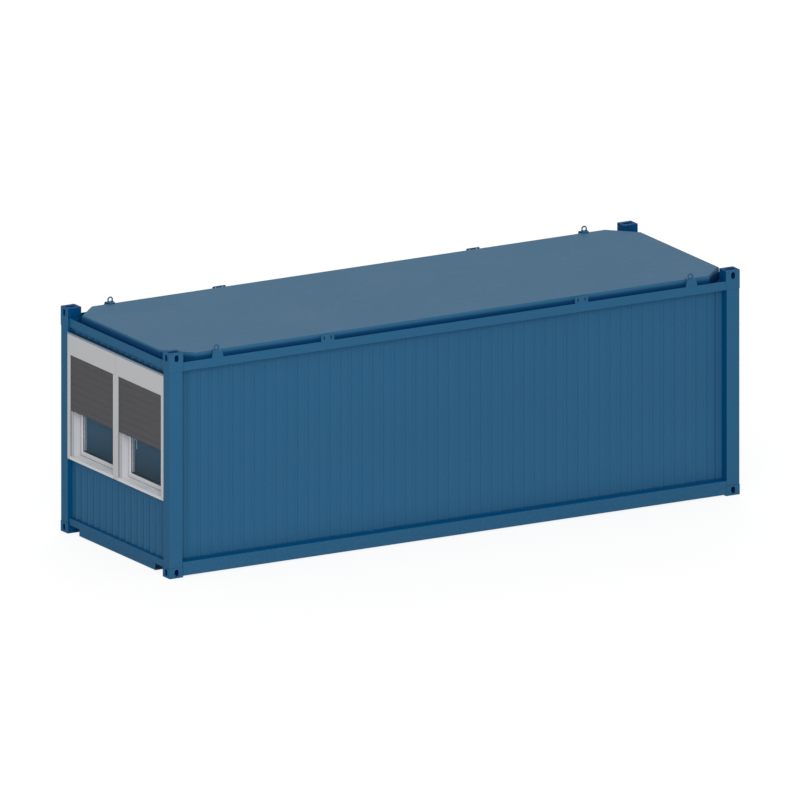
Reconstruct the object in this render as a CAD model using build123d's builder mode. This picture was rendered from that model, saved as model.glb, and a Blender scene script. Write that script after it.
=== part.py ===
"""Shipping container cabin: welded steel frame, ribbed walls, twin shuttered window, steel door.

The cabin stands on its four bottom castings at Z = 0 and is centred on the origin. X runs
along its length, with the window end at -X and the door end at +X, and Y runs across it.
"""

import os

from build123d import *

# Overall size over the corner castings
LENGTH = 7335.0
WIDTH = 2435.0
HEIGHT = 2591.0

# Play left between a seated piece and what holds it
SEAT_GAP = 0.3

# Corner castings
CASTING_X = 178.0
CASTING_Y = 162.0
CASTING_Z = 118.0
CASTING_RADIUS = 8.0
CASTING_WALL = 18.0
CASTING_SIDE_HOLE_HEIGHT = 79.5
CASTING_SIDE_HOLE_WIDTH = 51.0
CASTING_TOP_SLOT_LENGTH = 124.0
CASTING_TOP_SLOT_WIDTH = 63.5
CASTING_HOLE_Z = 59.0

# Corner posts
FRAME_INSET = 4.0
POST_X = 164.0
POST_Y = 146.0
POST_WALL = 5.0
POST_RADIUS = 6.0

# Floor frame
FLOOR_RAIL_BOTTOM = 16.0
FLOOR_RAIL_TOP = 173.0
RAIL_WALL = 4.0
RAIL_RADIUS = 3.0
SIDE_RAIL_DEPTH = 178.0
END_RAIL_INSET = 28.0
END_NOTCH_END = 372.0
END_NOTCH_TOP = 95.0
FLOOR_BEAM_COUNT = 11
FLOOR_BEAM_WIDTH = 50.0
FLOOR_BEAM_HEIGHT = 100.0
FLOOR_BEAM_WALL = 5.0
FLOOR_BEAM_FROM_END = 517.5
FLOOR_PAN_THICKNESS = 3.0
FLOOR_BOARD_THICKNESS = 22.0

# Roof frame, hung from the tops of the upper castings
ROOF_RAIL_DROP = 114.0
ROOF_RAIL_HEIGHT = 102.0
GUTTER_DEPTH = 72.0
CORNER_BOX_WALL = 6.0
ROOF_BOW_COUNT = 9
ROOF_BOW_WIDTH = 40.0
ROOF_BOW_WALL = 3.0
ROOF_BOW_FROM_END = 667.5
CEILING_THICKNESS = 12.0

# Roof sheet
ROOF_DROP = 40.0
ROOF_SIDE_INSET = 54.0
ROOF_END_INSET = 68.0
ROOF_CORNER_CUT = 298.0
ROOF_EDGE_RADIUS = 20.0
ROOF_SHEET = 3.0

# Walls
SIDE_WALL_INSET = 128.0
SIDE_WALL_INNER = 178.0
END_WALL_INSET = 68.0
RIB_PITCH = 138.5
RIB_DEPTH = 10.0
RIB_BASE = 42.0
RIB_ANGLE = 45.0
RIB_END_MARGIN = 30.0
FIRST_SIDE_RIB = 55.5
CORNER_STRIP_WIDTH = 78.0
CORNER_STRIP_GAP = 10.0

# Twin window with roller shutters, hung from the roof frame
WALL_OVER_WINDOW_HEIGHT = 48.0
SHUTTER_BOX_HEIGHT = 254.0
SHUTTER_BOX_WALL = 3.0
WINDOW_HEIGHT = 1206.0
GUIDE_WIDTH = 54.0
GUIDE_DEPTH = 54.0
GUIDE_SEAM = 3.0
SLOT_FRONT = 10.0
SLOT_WIDTH = 12.0
SLOT_DEPTH = 20.0
REAR_GROOVE_FRONT = 38.0
REAR_GROOVE_DEPTH = 8.0
SILL_HEIGHT = 33.0
SASH_FRONT = 131.0
SASH_WIDTH = 48.0
SASH_DEPTH = 58.0
SASH_BEVEL = 9.0
SASH_BEVEL_ANGLE = 45.0
PANE_FRONT = 149.0
PANE_THICKNESS = 24.0
PANE_REBATE = 14.0
CURTAIN_DROP = 643.0
CURTAIN_THICKNESS = 8.0
CURTAIN_EDGE_PLAY = 5.0
SLAT_PITCH = 84.5
SLAT_CROWN = 3.0
SLAT_GROOVE_HEIGHT = 3.0
SLAT_GROOVE_DEPTH = 1.5
END_SLAT_HEIGHT = 65.0
HANDLE_HEIGHT = 453.0
HANDLE_PLATE = (26.0, 70.0, 10.0)
HANDLE_PLATE_RADIUS = 6.5
HANDLE_NECK_RADIUS = 9.0
HANDLE_NECK_LENGTH = 32.0
HANDLE_LEVER = (16.0, 125.0, 14.0)
HANDLE_LEVER_RADIUS = 6.0

# Door, its head hung from the roof frame
WALL_OVER_DOOR_HEIGHT = 180.0
DOOR_OPENING_WIDTH = 900.0
DOOR_FRAME_FACE = 45.0
DOOR_FRAME_INSET = 48.0
DOOR_LEAF_THICKNESS = 45.0
DOOR_LEAF_GAP = 3.0
DOOR_STOP_WIDTH = 16.0
DOOR_HANDLE_HEIGHT = 1042.0
DOOR_HANDLE_EDGE = 60.0
DOOR_PLATE = (40.0, 220.0, 6.0)
DOOR_PLATE_DROP = 55.0
DOOR_PLATE_RADIUS = 10.0
DOOR_NECK_RADIUS = 10.0
DOOR_NECK_LENGTH = 34.0
DOOR_LEVER = (130.0, 20.0, 14.0)
DOOR_LEVER_RADIUS = 8.0
DOOR_HINGE_COUNT = 3
DOOR_HINGE_FROM_END = 230.0
DOOR_HINGE_RADIUS = 9.0
DOOR_HINGE_HEIGHT = 110.0
DOOR_HINGE_PLATE = 4.0
DOOR_HINGE_SPREAD = 64.0
THRESHOLD_HEIGHT = 24.0

# Lifting eyes and slotted brackets on the long roof rails
EYE_FROM_END = 620.0
EYE_BASE_WIDTH = 150.0
EYE_SHOULDER_WIDTH = 108.0
EYE_TIP_WIDTH = 64.0
EYE_SHELF_DEPTH = 86.0
EYE_PLATE = 8.0
EYE_SHELF_HEIGHT = 84.0
EYE_RING_LIFT = 25.0
EYE_RING_INSET = 34.0
EYE_RING_RADIUS = 28.0
EYE_RING_BAR = 8.0
BRACKET_FROM_END = 2035.0
BRACKET_WIDTH = 168.0
BRACKET_HEIGHT = 73.0
BRACKET_PLATE = 8.0
BRACKET_RADIUS = 10.0
BRACKET_SLOT_PITCH = 91.0
BRACKET_SLOT_LENGTH = 46.0
BRACKET_SLOT_WIDTH = 14.0
BRACKET_SLOT_HEIGHT = 38.0

# Places that follow from the sizes above
HALF_LENGTH = LENGTH / 2
HALF_WIDTH = WIDTH / 2
CASTING_CENTRE_X = HALF_LENGTH - CASTING_X / 2
CASTING_CENTRE_Y = HALF_WIDTH - CASTING_Y / 2
TOP_CASTING_BOTTOM = HEIGHT - CASTING_Z
POST_BACK_X = FRAME_INSET + POST_X
POST_BACK_Y = FRAME_INSET + POST_Y
SIDE_RAIL_BACK = FRAME_INSET + SIDE_RAIL_DEPTH
ROOM_LENGTH = LENGTH - 2 * POST_BACK_X
ROOM_WIDTH = WIDTH - 2 * SIDE_WALL_INNER
ROOF_RAIL_TOP = HEIGHT - ROOF_RAIL_DROP
ROOF_RAIL_BOTTOM = ROOF_RAIL_TOP - ROOF_RAIL_HEIGHT
GUTTER_FLOOR = ROOF_RAIL_TOP - GUTTER_DEPTH
ROOF_TOP = HEIGHT - ROOF_DROP
END_WALL_WIDTH = WIDTH - 2 * POST_BACK_Y
END_WALL_THICKNESS = POST_BACK_X - END_WALL_INSET
WINDOW_FRONT_X = -HALF_LENGTH + FRAME_INSET
SHUTTER_BOX_TOP = ROOF_RAIL_BOTTOM - WALL_OVER_WINDOW_HEIGHT
SHUTTER_BOX_BOTTOM = SHUTTER_BOX_TOP - SHUTTER_BOX_HEIGHT
WINDOW_BOTTOM = SHUTTER_BOX_BOTTOM - WINDOW_HEIGHT
OPENING_BOTTOM = WINDOW_BOTTOM + SILL_HEIGHT
OPENING_HEIGHT = SHUTTER_BOX_BOTTOM - OPENING_BOTTOM - SILL_HEIGHT
OPENING_WIDTH = END_WALL_WIDTH / 2 - 2 * GUIDE_WIDTH
OPENING_CENTRE_Y = END_WALL_WIDTH / 4
OPENING_CENTRE_Z = OPENING_BOTTOM + OPENING_HEIGHT / 2
DOOR_OPENING_TOP = ROOF_RAIL_BOTTOM - WALL_OVER_DOOR_HEIGHT
EYE_X = HALF_LENGTH - EYE_FROM_END
BRACKET_X = HALF_LENGTH - BRACKET_FROM_END
RAIL_FACE_Y = HALF_WIDTH - FRAME_INSET


def save(builder, name):
    """Name a finished sub-part and write it to its own STEP file."""
    builder.part.label = name
    export_step(builder.part, f"parts/{name}.step")


def end_plane(side, inset):
    """Plane across the cabin, a given distance in from the end face at the given side.

    Its local x runs along +Y, its local y runs up and its normal points to +X.
    """
    return Plane(origin=(side * (HALF_LENGTH - inset), 0, 0), x_dir=(0, 1, 0), z_dir=(1, 0, 0))


os.makedirs("parts", exist_ok=True)


# Corner castings: hollow blocks with an oval hole in each outer face
def corner_castings(bottom, slot_bottom):
    """Four castings in a rectangle, with the long slot in the plate that starts at slot_bottom."""
    with BuildPart() as castings:
        with BuildSketch(Plane.XY.offset(bottom)):
            with GridLocations(2 * CASTING_CENTRE_X, 2 * CASTING_CENTRE_Y, 2, 2):
                RectangleRounded(CASTING_X, CASTING_Y, CASTING_RADIUS)
        extrude(amount=CASTING_Z)
        with BuildSketch(Plane.XY.offset(bottom + CASTING_WALL)):
            with GridLocations(2 * CASTING_CENTRE_X, 2 * CASTING_CENTRE_Y, 2, 2):
                Rectangle(CASTING_X - 2 * CASTING_WALL, CASTING_Y - 2 * CASTING_WALL)
        extrude(amount=CASTING_Z - 2 * CASTING_WALL, mode=Mode.SUBTRACT)
        with BuildSketch(Plane.XY.offset(slot_bottom)):
            with GridLocations(2 * CASTING_CENTRE_X, 2 * CASTING_CENTRE_Y, 2, 2):
                SlotOverall(CASTING_TOP_SLOT_LENGTH, CASTING_TOP_SLOT_WIDTH)
        extrude(amount=CASTING_WALL, mode=Mode.SUBTRACT)
        for side in (1, -1):
            with BuildSketch(Plane.XZ.offset(side * HALF_WIDTH)):
                for end in (1, -1):
                    with Locations((end * CASTING_CENTRE_X, bottom + CASTING_HOLE_Z)):
                        SlotOverall(CASTING_SIDE_HOLE_HEIGHT, CASTING_SIDE_HOLE_WIDTH, rotation=90)
            extrude(amount=-side * CASTING_WALL, mode=Mode.SUBTRACT)
            with BuildSketch(end_plane(side, 0)):
                for end in (1, -1):
                    with Locations((end * CASTING_CENTRE_Y, bottom + CASTING_HOLE_Z)):
                        SlotOverall(CASTING_SIDE_HOLE_HEIGHT, CASTING_SIDE_HOLE_WIDTH, rotation=90)
            extrude(amount=-side * CASTING_WALL, mode=Mode.SUBTRACT)
    return castings


save(corner_castings(0, 0), "bottom_castings")
save(corner_castings(TOP_CASTING_BOTTOM, HEIGHT - CASTING_WALL), "top_castings")


# Corner posts: hollow sections from the bottom castings up to the roof corner boxes
def corner_post(end, side):
    """Post at one corner, with end and side giving the signs of its X and Y."""
    centre_x = end * (HALF_LENGTH - FRAME_INSET - POST_X / 2)
    centre_y = side * (HALF_WIDTH - FRAME_INSET - POST_Y / 2)
    with BuildPart() as post:
        with BuildSketch(Plane.XY.offset(CASTING_Z)):
            with Locations((centre_x, centre_y)):
                RectangleRounded(POST_X, POST_Y, POST_RADIUS)
                RectangleRounded(
                    POST_X - 2 * POST_WALL,
                    POST_Y - 2 * POST_WALL,
                    POST_RADIUS - POST_WALL,
                    mode=Mode.SUBTRACT,
                )
        extrude(amount=ROOF_RAIL_BOTTOM - CASTING_Z)
    return post


save(corner_post(-1, -1), "post_window_front")
save(corner_post(-1, 1), "post_window_back")
save(corner_post(1, -1), "post_door_front")
save(corner_post(1, 1), "post_door_back")

# Roof corner boxes: short tubes that tie the roof rails together under the top castings
with BuildPart() as roof_corner_boxes:
    with BuildSketch(Plane.XY.offset(ROOF_RAIL_BOTTOM)):
        with GridLocations(2 * CASTING_CENTRE_X, 2 * CASTING_CENTRE_Y, 2, 2):
            RectangleRounded(CASTING_X, CASTING_Y, CASTING_RADIUS)
            RectangleRounded(
                CASTING_X - 2 * CORNER_BOX_WALL,
                CASTING_Y - 2 * CORNER_BOX_WALL,
                CASTING_RADIUS - CORNER_BOX_WALL,
                mode=Mode.SUBTRACT,
            )
    extrude(amount=TOP_CASTING_BOTTOM - ROOF_RAIL_BOTTOM)
save(roof_corner_boxes, "roof_corner_boxes")


# Long rails: channels that open toward the middle of the cabin
def side_rail(side, bottom, top, length, casting_gap, gutter):
    """Channel along one long side, its lower ends cut back by casting_gap beside the castings.

    With a gutter the upper flange lies that far below the top, so that the web stands as a lip.
    """
    height = top - bottom
    room = height - gutter - 2 * RAIL_WALL
    middle_y = side * (RAIL_FACE_Y - SIDE_RAIL_DEPTH / 2)
    with BuildPart() as rail:
        with BuildSketch(Plane.YZ.offset(-length / 2)) as section:
            with Locations((middle_y, bottom + height / 2)):
                Rectangle(SIDE_RAIL_DEPTH, height)
            outer_corners = section.vertices().sort_by(lambda vertex: -side * vertex.X)[:2]
            fillet(outer_corners, radius=RAIL_RADIUS)
            with Locations((middle_y - side * RAIL_WALL, bottom + RAIL_WALL + room / 2)):
                Rectangle(SIDE_RAIL_DEPTH, room, mode=Mode.SUBTRACT)
            if gutter:
                with Locations((middle_y - side * RAIL_WALL, top - gutter / 2)):
                    Rectangle(SIDE_RAIL_DEPTH, gutter, mode=Mode.SUBTRACT)
        extrude(amount=length)
        if casting_gap:
            with BuildSketch(Plane.XY):
                with GridLocations(length, 0, 2, 1):
                    Rectangle(2 * casting_gap, WIDTH)
            extrude(amount=CASTING_Z, mode=Mode.SUBTRACT)
    return rail


floor_rail_length = LENGTH - 2 * POST_BACK_X
roof_rail_length = LENGTH - 2 * CASTING_X
floor_gap = CASTING_X - POST_BACK_X
for side, side_name in ((-1, "front"), (1, "back")):
    floor_rail = side_rail(side, FLOOR_RAIL_BOTTOM, FLOOR_RAIL_TOP, floor_rail_length, floor_gap, 0)
    roof_rail = side_rail(side, ROOF_RAIL_BOTTOM, ROOF_RAIL_TOP, roof_rail_length, 0, GUTTER_DEPTH)
    save(floor_rail, f"floor_rail_{side_name}")
    save(roof_rail, f"roof_rail_{side_name}")


# End rails: channels across the cabin that open toward its middle
def end_rail(end, bottom, top, width, back, gutter):
    """Channel across one end, from its recessed face in to the distance back.

    With a gutter the upper flange lies that far below the top, so that the web stands as a lip.
    """
    height = top - bottom
    room = height - gutter - 2 * RAIL_WALL
    depth = back - END_RAIL_INSET
    middle_x = end * (HALF_LENGTH - END_RAIL_INSET - depth / 2)
    with BuildPart() as rail:
        with BuildSketch(Plane.XZ.offset(-width / 2)) as section:
            with Locations((middle_x, bottom + height / 2)):
                Rectangle(depth, height)
            outer_corners = section.vertices().sort_by(lambda vertex: -end * vertex.X)[:2]
            fillet(outer_corners, radius=RAIL_RADIUS)
            with Locations((middle_x - end * RAIL_WALL, bottom + RAIL_WALL + room / 2)):
                Rectangle(depth, room, mode=Mode.SUBTRACT)
            if gutter:
                with Locations((middle_x - end * RAIL_WALL, top - gutter / 2)):
                    Rectangle(depth, gutter, mode=Mode.SUBTRACT)
        extrude(amount=width)
    return rail


def notched_end_rail(end):
    """Floor rail across one end, its underside raised for a stretch beside each casting."""
    width = WIDTH - 2 * POST_BACK_Y
    with BuildPart() as rail:
        add(end_rail(end, FLOOR_RAIL_BOTTOM, FLOOR_RAIL_TOP, width, POST_BACK_X, 0).part)
        with BuildSketch(Plane.XY):
            Rectangle(LENGTH, WIDTH)
            Rectangle(LENGTH, WIDTH - 2 * END_NOTCH_END, mode=Mode.SUBTRACT)
        extrude(amount=END_NOTCH_TOP, mode=Mode.SUBTRACT)
        with BuildSketch(Plane.XY):
            Rectangle(LENGTH, WIDTH)
            Rectangle(LENGTH, WIDTH - 2 * CASTING_Y, mode=Mode.SUBTRACT)
        extrude(amount=CASTING_Z, mode=Mode.SUBTRACT)
    return rail


roof_end_width = WIDTH - 2 * CASTING_Y
for end, end_name in ((-1, "window"), (1, "door")):
    roof_rail = end_rail(end, ROOF_RAIL_BOTTOM, ROOF_RAIL_TOP, roof_end_width, CASTING_X, GUTTER_DEPTH)
    save(notched_end_rail(end), f"floor_rail_{end_name}_end")
    save(roof_rail, f"roof_rail_{end_name}_end")


# Channels laid across the cabin, with their webs toward the window end
def cross_channels(bottom, width, height, wall, length, span, count):
    """Even row of channels over the given span, from web to web."""
    with BuildPart() as channels:
        with BuildSketch(Plane.XZ.offset(-length / 2)):
            with Locations((0, bottom + height / 2)):
                with GridLocations(span / (count - 1), 0, count, 1):
                    Rectangle(width, height)
            with Locations((wall, bottom + height / 2)):
                with GridLocations(span / (count - 1), 0, count, 1):
                    Rectangle(width, height - 2 * wall, mode=Mode.SUBTRACT)
        extrude(amount=length)
    return channels


# Floor beams: channels between the long rails, notched under the upper flanges of the rails
beam_bottom = FLOOR_RAIL_TOP - FLOOR_BEAM_HEIGHT
beam_span = LENGTH - 2 * FLOOR_BEAM_FROM_END
with BuildPart() as floor_beams:
    add(
        cross_channels(
            beam_bottom,
            FLOOR_BEAM_WIDTH,
            FLOOR_BEAM_HEIGHT,
            FLOOR_BEAM_WALL,
            WIDTH - 2 * (FRAME_INSET + RAIL_WALL),
            beam_span,
            FLOOR_BEAM_COUNT,
        ).part
    )
    with BuildSketch(Plane.XY.offset(FLOOR_RAIL_TOP - RAIL_WALL)):
        Rectangle(LENGTH, WIDTH)
        Rectangle(LENGTH, WIDTH - 2 * SIDE_RAIL_BACK, mode=Mode.SUBTRACT)
    extrude(amount=RAIL_WALL, mode=Mode.SUBTRACT)
save(floor_beams, "floor_beams")

# Floor pan: sheet that closes the floor frame from below
with BuildPart() as floor_pan:
    with BuildSketch(Plane.XY.offset(beam_bottom - FLOOR_PAN_THICKNESS)):
        Rectangle(LENGTH - 2 * CASTING_X, WIDTH - 2 * (FRAME_INSET + RAIL_WALL))
    extrude(amount=FLOOR_PAN_THICKNESS)
save(floor_pan, "floor_pan")

# Floor board: the walking surface between the four walls
with BuildPart() as floor_board:
    with BuildSketch(Plane.XY.offset(FLOOR_RAIL_TOP)):
        Rectangle(ROOM_LENGTH, ROOM_WIDTH)
    extrude(amount=FLOOR_BOARD_THICKNESS)
save(floor_board, "floor_board")

# Roof bows: channels laid on the flanges of the long roof rails, up to the roof sheet
roof_bows = cross_channels(
    GUTTER_FLOOR,
    ROOF_BOW_WIDTH,
    ROOF_TOP - ROOF_SHEET - GUTTER_FLOOR,
    ROOF_BOW_WALL,
    WIDTH - 2 * (ROOF_SIDE_INSET + ROOF_EDGE_RADIUS),
    LENGTH - 2 * ROOF_BOW_FROM_END,
    ROOF_BOW_COUNT,
)
save(roof_bows, "roof_bows")

# Ceiling: panel between the walls, its top level with their tops
with BuildPart() as ceiling:
    with BuildSketch(Plane.XY.offset(ROOF_RAIL_BOTTOM - CEILING_THICKNESS)):
        Rectangle(ROOM_LENGTH, ROOM_WIDTH)
    extrude(amount=CEILING_THICKNESS)
save(ceiling, "ceiling")

# Roof sheet: tray with rounded edges and cut corners, its skirt bent out as the gutter floor
def roof_block(shrink):
    """Solid under the roof's outer surface, all of its faces moved in by shrink."""
    with BuildPart() as block:
        with BuildSketch(Plane.XY.offset(GUTTER_FLOOR)) as outline:
            Rectangle(LENGTH - 2 * ROOF_END_INSET, WIDTH - 2 * ROOF_SIDE_INSET)
            chamfer(outline.vertices(), length=ROOF_CORNER_CUT)
            if shrink:
                offset(amount=-shrink, kind=Kind.INTERSECTION)
        extrude(amount=ROOF_TOP - shrink - GUTTER_FLOOR)
        fillet(block.faces().sort_by(Axis.Z)[-1].edges(), radius=ROOF_EDGE_RADIUS - shrink)
    return block


with BuildPart() as roof_sheet:
    with BuildSketch(Plane.XY.offset(GUTTER_FLOOR)):
        Rectangle(LENGTH - 2 * (END_RAIL_INSET + RAIL_WALL), WIDTH - 2 * (FRAME_INSET + RAIL_WALL))
        with GridLocations(2 * CASTING_CENTRE_X, 2 * CASTING_CENTRE_Y, 2, 2):
            Rectangle(CASTING_X, CASTING_Y, mode=Mode.SUBTRACT)
    extrude(amount=ROOF_SHEET)
    add(roof_block(0).part)
    add(roof_block(ROOF_SHEET).part, mode=Mode.SUBTRACT)
save(roof_sheet, "roof_sheet")


def ribs_across(width):
    """Number of whole ribs that a panel of the given width takes at the rib pitch."""
    return int((width - RIB_BASE) // RIB_PITCH) + 1


# Long walls: panels with upright ribs, and a flat strip at each end beside the posts
def side_wall(side):
    """Ribbed wall along one long side, its outer face toward the given side."""
    base_y = side * (HALF_WIDTH - SIDE_WALL_INSET)
    core = SIDE_WALL_INNER - SIDE_WALL_INSET
    strip_y = base_y + side * RIB_DEPTH / 2
    strip_x = ROOM_LENGTH - CORNER_STRIP_WIDTH
    gap_x = ROOM_LENGTH - 2 * CORNER_STRIP_WIDTH - CORNER_STRIP_GAP
    field_start = (CORNER_STRIP_GAP - gap_x) / 2 + FIRST_SIDE_RIB
    field_end = (gap_x - CORNER_STRIP_GAP) / 2 - RIB_END_MARGIN
    rib_count = ribs_across(field_end - field_start + RIB_BASE / 2)
    rib_middle = field_start + (rib_count - 1) * RIB_PITCH / 2
    with BuildPart() as wall:
        with BuildSketch(Plane.XY.offset(FLOOR_RAIL_TOP)):
            with Locations((0, base_y - side * core / 2)):
                Rectangle(ROOM_LENGTH, core)
            with Locations((rib_middle, base_y + side * RIB_DEPTH / 2)):
                with GridLocations(RIB_PITCH, 0, rib_count, 1):
                    Trapezoid(RIB_BASE, RIB_DEPTH, RIB_ANGLE, rotation=90 - side * 90)
            with Locations((0, strip_y)):
                with GridLocations(strip_x, 0, 2, 1):
                    Rectangle(CORNER_STRIP_WIDTH, RIB_DEPTH)
            with Locations((0, base_y)):
                with GridLocations(gap_x, 0, 2, 1):
                    Rectangle(CORNER_STRIP_GAP, RIB_DEPTH, mode=Mode.SUBTRACT)
        extrude(amount=ROOF_RAIL_BOTTOM - FLOOR_RAIL_TOP)
    return wall


save(side_wall(-1), "wall_front")
save(side_wall(1), "wall_back")


# End wall panels: the same ribs, between the posts
def end_panel(end, centre_y, width, bottom, top):
    """Ribbed panel across part of one end, its outer face toward the given end."""
    base_x = end * (HALF_LENGTH - END_WALL_INSET)
    rib_count = ribs_across(width - 2 * RIB_END_MARGIN)
    with BuildPart() as panel:
        with BuildSketch(Plane.XY.offset(bottom)):
            with Locations((base_x - end * END_WALL_THICKNESS / 2, centre_y)):
                Rectangle(END_WALL_THICKNESS, width)
            with Locations((base_x + end * RIB_DEPTH / 2, centre_y)):
                with GridLocations(0, RIB_PITCH, 1, rib_count):
                    Trapezoid(RIB_BASE, RIB_DEPTH, RIB_ANGLE, rotation=-end * 90)
        extrude(amount=top - bottom)
    return panel


door_side_width = (END_WALL_WIDTH - DOOR_OPENING_WIDTH) / 2
door_side_y = (END_WALL_WIDTH + DOOR_OPENING_WIDTH) / 4
wall_under_window = end_panel(-1, 0, END_WALL_WIDTH, FLOOR_RAIL_TOP, WINDOW_BOTTOM)
wall_over_window = end_panel(-1, 0, END_WALL_WIDTH, SHUTTER_BOX_TOP, ROOF_RAIL_BOTTOM)
wall_door_front = end_panel(1, -door_side_y, door_side_width, FLOOR_RAIL_TOP, ROOF_RAIL_BOTTOM)
wall_door_back = end_panel(1, door_side_y, door_side_width, FLOOR_RAIL_TOP, ROOF_RAIL_BOTTOM)
wall_over_door = end_panel(1, 0, DOOR_OPENING_WIDTH, DOOR_OPENING_TOP, ROOF_RAIL_BOTTOM)
save(wall_under_window, "wall_under_window")
save(wall_over_window, "wall_over_window")
save(wall_door_front, "wall_door_front")
save(wall_door_back, "wall_door_back")
save(wall_over_door, "wall_over_door")

# Shutter box: hollow housing across the top of the window, with a slot for each curtain
curtain_width = OPENING_WIDTH + 2 * (SLOT_DEPTH - CURTAIN_EDGE_PLAY)
box_depth = POST_BACK_X - FRAME_INSET
with BuildPart() as shutter_box:
    with BuildSketch(Plane.XY.offset(SHUTTER_BOX_BOTTOM)):
        with Locations((WINDOW_FRONT_X + box_depth / 2, 0)):
            Rectangle(box_depth, END_WALL_WIDTH)
    extrude(amount=SHUTTER_BOX_HEIGHT)
    with BuildSketch(Plane.XY.offset(SHUTTER_BOX_BOTTOM + SHUTTER_BOX_WALL)):
        with Locations((WINDOW_FRONT_X + box_depth / 2, 0)):
            Rectangle(box_depth - 2 * SHUTTER_BOX_WALL, END_WALL_WIDTH - 2 * SHUTTER_BOX_WALL)
    extrude(amount=SHUTTER_BOX_HEIGHT - 2 * SHUTTER_BOX_WALL, mode=Mode.SUBTRACT)
    with BuildSketch(Plane.XY.offset(SHUTTER_BOX_BOTTOM)):
        with Locations((WINDOW_FRONT_X + SLOT_FRONT + SLOT_WIDTH / 2, 0)):
            with GridLocations(0, 2 * OPENING_CENTRE_Y, 1, 2):
                Rectangle(SLOT_WIDTH, curtain_width + 2 * CURTAIN_EDGE_PLAY)
    extrude(amount=SHUTTER_BOX_WALL, mode=Mode.SUBTRACT)
save(shutter_box, "shutter_box")

# Shutter guides: upright rails beside each opening, grooved for the curtain
with BuildPart() as shutter_guides:
    with BuildSketch(Plane.XY.offset(WINDOW_BOTTOM)):
        for opening_y in (-OPENING_CENTRE_Y, OPENING_CENTRE_Y):
            for side in (-1, 1):
                edge_y = opening_y + side * OPENING_WIDTH / 2
                with Locations((WINDOW_FRONT_X + GUIDE_DEPTH / 2, edge_y + side * GUIDE_WIDTH / 2)):
                    Rectangle(GUIDE_DEPTH, GUIDE_WIDTH)
                slot_x = WINDOW_FRONT_X + SLOT_FRONT + SLOT_WIDTH / 2
                with Locations((slot_x, edge_y)):
                    Rectangle(SLOT_WIDTH, 2 * SLOT_DEPTH, mode=Mode.SUBTRACT)
                groove_x = WINDOW_FRONT_X + REAR_GROOVE_FRONT + SLOT_WIDTH / 2
                with Locations((groove_x, edge_y)):
                    Rectangle(SLOT_WIDTH, 2 * REAR_GROOVE_DEPTH, mode=Mode.SUBTRACT)
        with Locations((WINDOW_FRONT_X, 0)):
            Rectangle(2 * GUIDE_SEAM, GUIDE_SEAM, mode=Mode.SUBTRACT)
    extrude(amount=WINDOW_HEIGHT)
save(shutter_guides, "shutter_guides")

# Window sill: strip under each opening, between the guides
with BuildPart() as window_sill:
    with BuildSketch(Plane.XY.offset(WINDOW_BOTTOM)):
        with Locations((WINDOW_FRONT_X + GUIDE_DEPTH / 2, 0)):
            with GridLocations(0, 2 * OPENING_CENTRE_Y, 1, 2):
                Rectangle(GUIDE_DEPTH, OPENING_WIDTH)
    extrude(amount=SILL_HEIGHT)
save(window_sill, "window_sill")

# Window frame: fixed frame behind the guides with two openings
with BuildPart() as window_frame:
    with BuildSketch(end_plane(-1, FRAME_INSET + GUIDE_DEPTH)):
        with Locations((0, WINDOW_BOTTOM + WINDOW_HEIGHT / 2)):
            Rectangle(END_WALL_WIDTH, WINDOW_HEIGHT)
        with Locations((0, OPENING_CENTRE_Z)):
            with GridLocations(2 * OPENING_CENTRE_Y, 0, 2, 1):
                Rectangle(OPENING_WIDTH, OPENING_HEIGHT, mode=Mode.SUBTRACT)
    extrude(amount=POST_BACK_X - FRAME_INSET - GUIDE_DEPTH)
save(window_frame, "window_frame")

# Window sashes: a ring in each opening, rebated for its pane
sash_width = OPENING_WIDTH - 2 * SEAT_GAP
sash_height = OPENING_HEIGHT - 2 * SEAT_GAP
glass_width = sash_width - 2 * SASH_WIDTH
glass_height = sash_height - 2 * SASH_WIDTH
with BuildPart() as window_sashes:
    with BuildSketch(end_plane(-1, FRAME_INSET + SASH_FRONT)):
        with Locations((0, OPENING_CENTRE_Z)):
            with GridLocations(2 * OPENING_CENTRE_Y, 0, 2, 1):
                Rectangle(sash_width, sash_height)
                Rectangle(glass_width, glass_height, mode=Mode.SUBTRACT)
    extrude(amount=SASH_DEPTH)
    with BuildSketch(end_plane(-1, FRAME_INSET + SASH_FRONT)):
        with Locations((0, OPENING_CENTRE_Z)):
            with GridLocations(2 * OPENING_CENTRE_Y, 0, 2, 1):
                Rectangle(glass_width + 2 * SASH_BEVEL, glass_height + 2 * SASH_BEVEL)
    extrude(amount=SASH_BEVEL, taper=SASH_BEVEL_ANGLE, mode=Mode.SUBTRACT)
    with BuildSketch(end_plane(-1, FRAME_INSET + PANE_FRONT - SEAT_GAP)):
        with Locations((0, OPENING_CENTRE_Z)):
            with GridLocations(2 * OPENING_CENTRE_Y, 0, 2, 1):
                Rectangle(glass_width + 2 * PANE_REBATE, glass_height + 2 * PANE_REBATE)
    extrude(amount=PANE_THICKNESS + 2 * SEAT_GAP, mode=Mode.SUBTRACT)
save(window_sashes, "window_sashes")

# Window panes: a sealed glazing unit in each sash
with BuildPart() as window_panes:
    with BuildSketch(end_plane(-1, FRAME_INSET + PANE_FRONT)):
        with Locations((0, OPENING_CENTRE_Z)):
            with GridLocations(2 * OPENING_CENTRE_Y, 0, 2, 1):
                Rectangle(
                    glass_width + 2 * (PANE_REBATE - SEAT_GAP),
                    glass_height + 2 * (PANE_REBATE - SEAT_GAP),
                )
    extrude(amount=PANE_THICKNESS)
save(window_panes, "window_panes")

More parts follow.
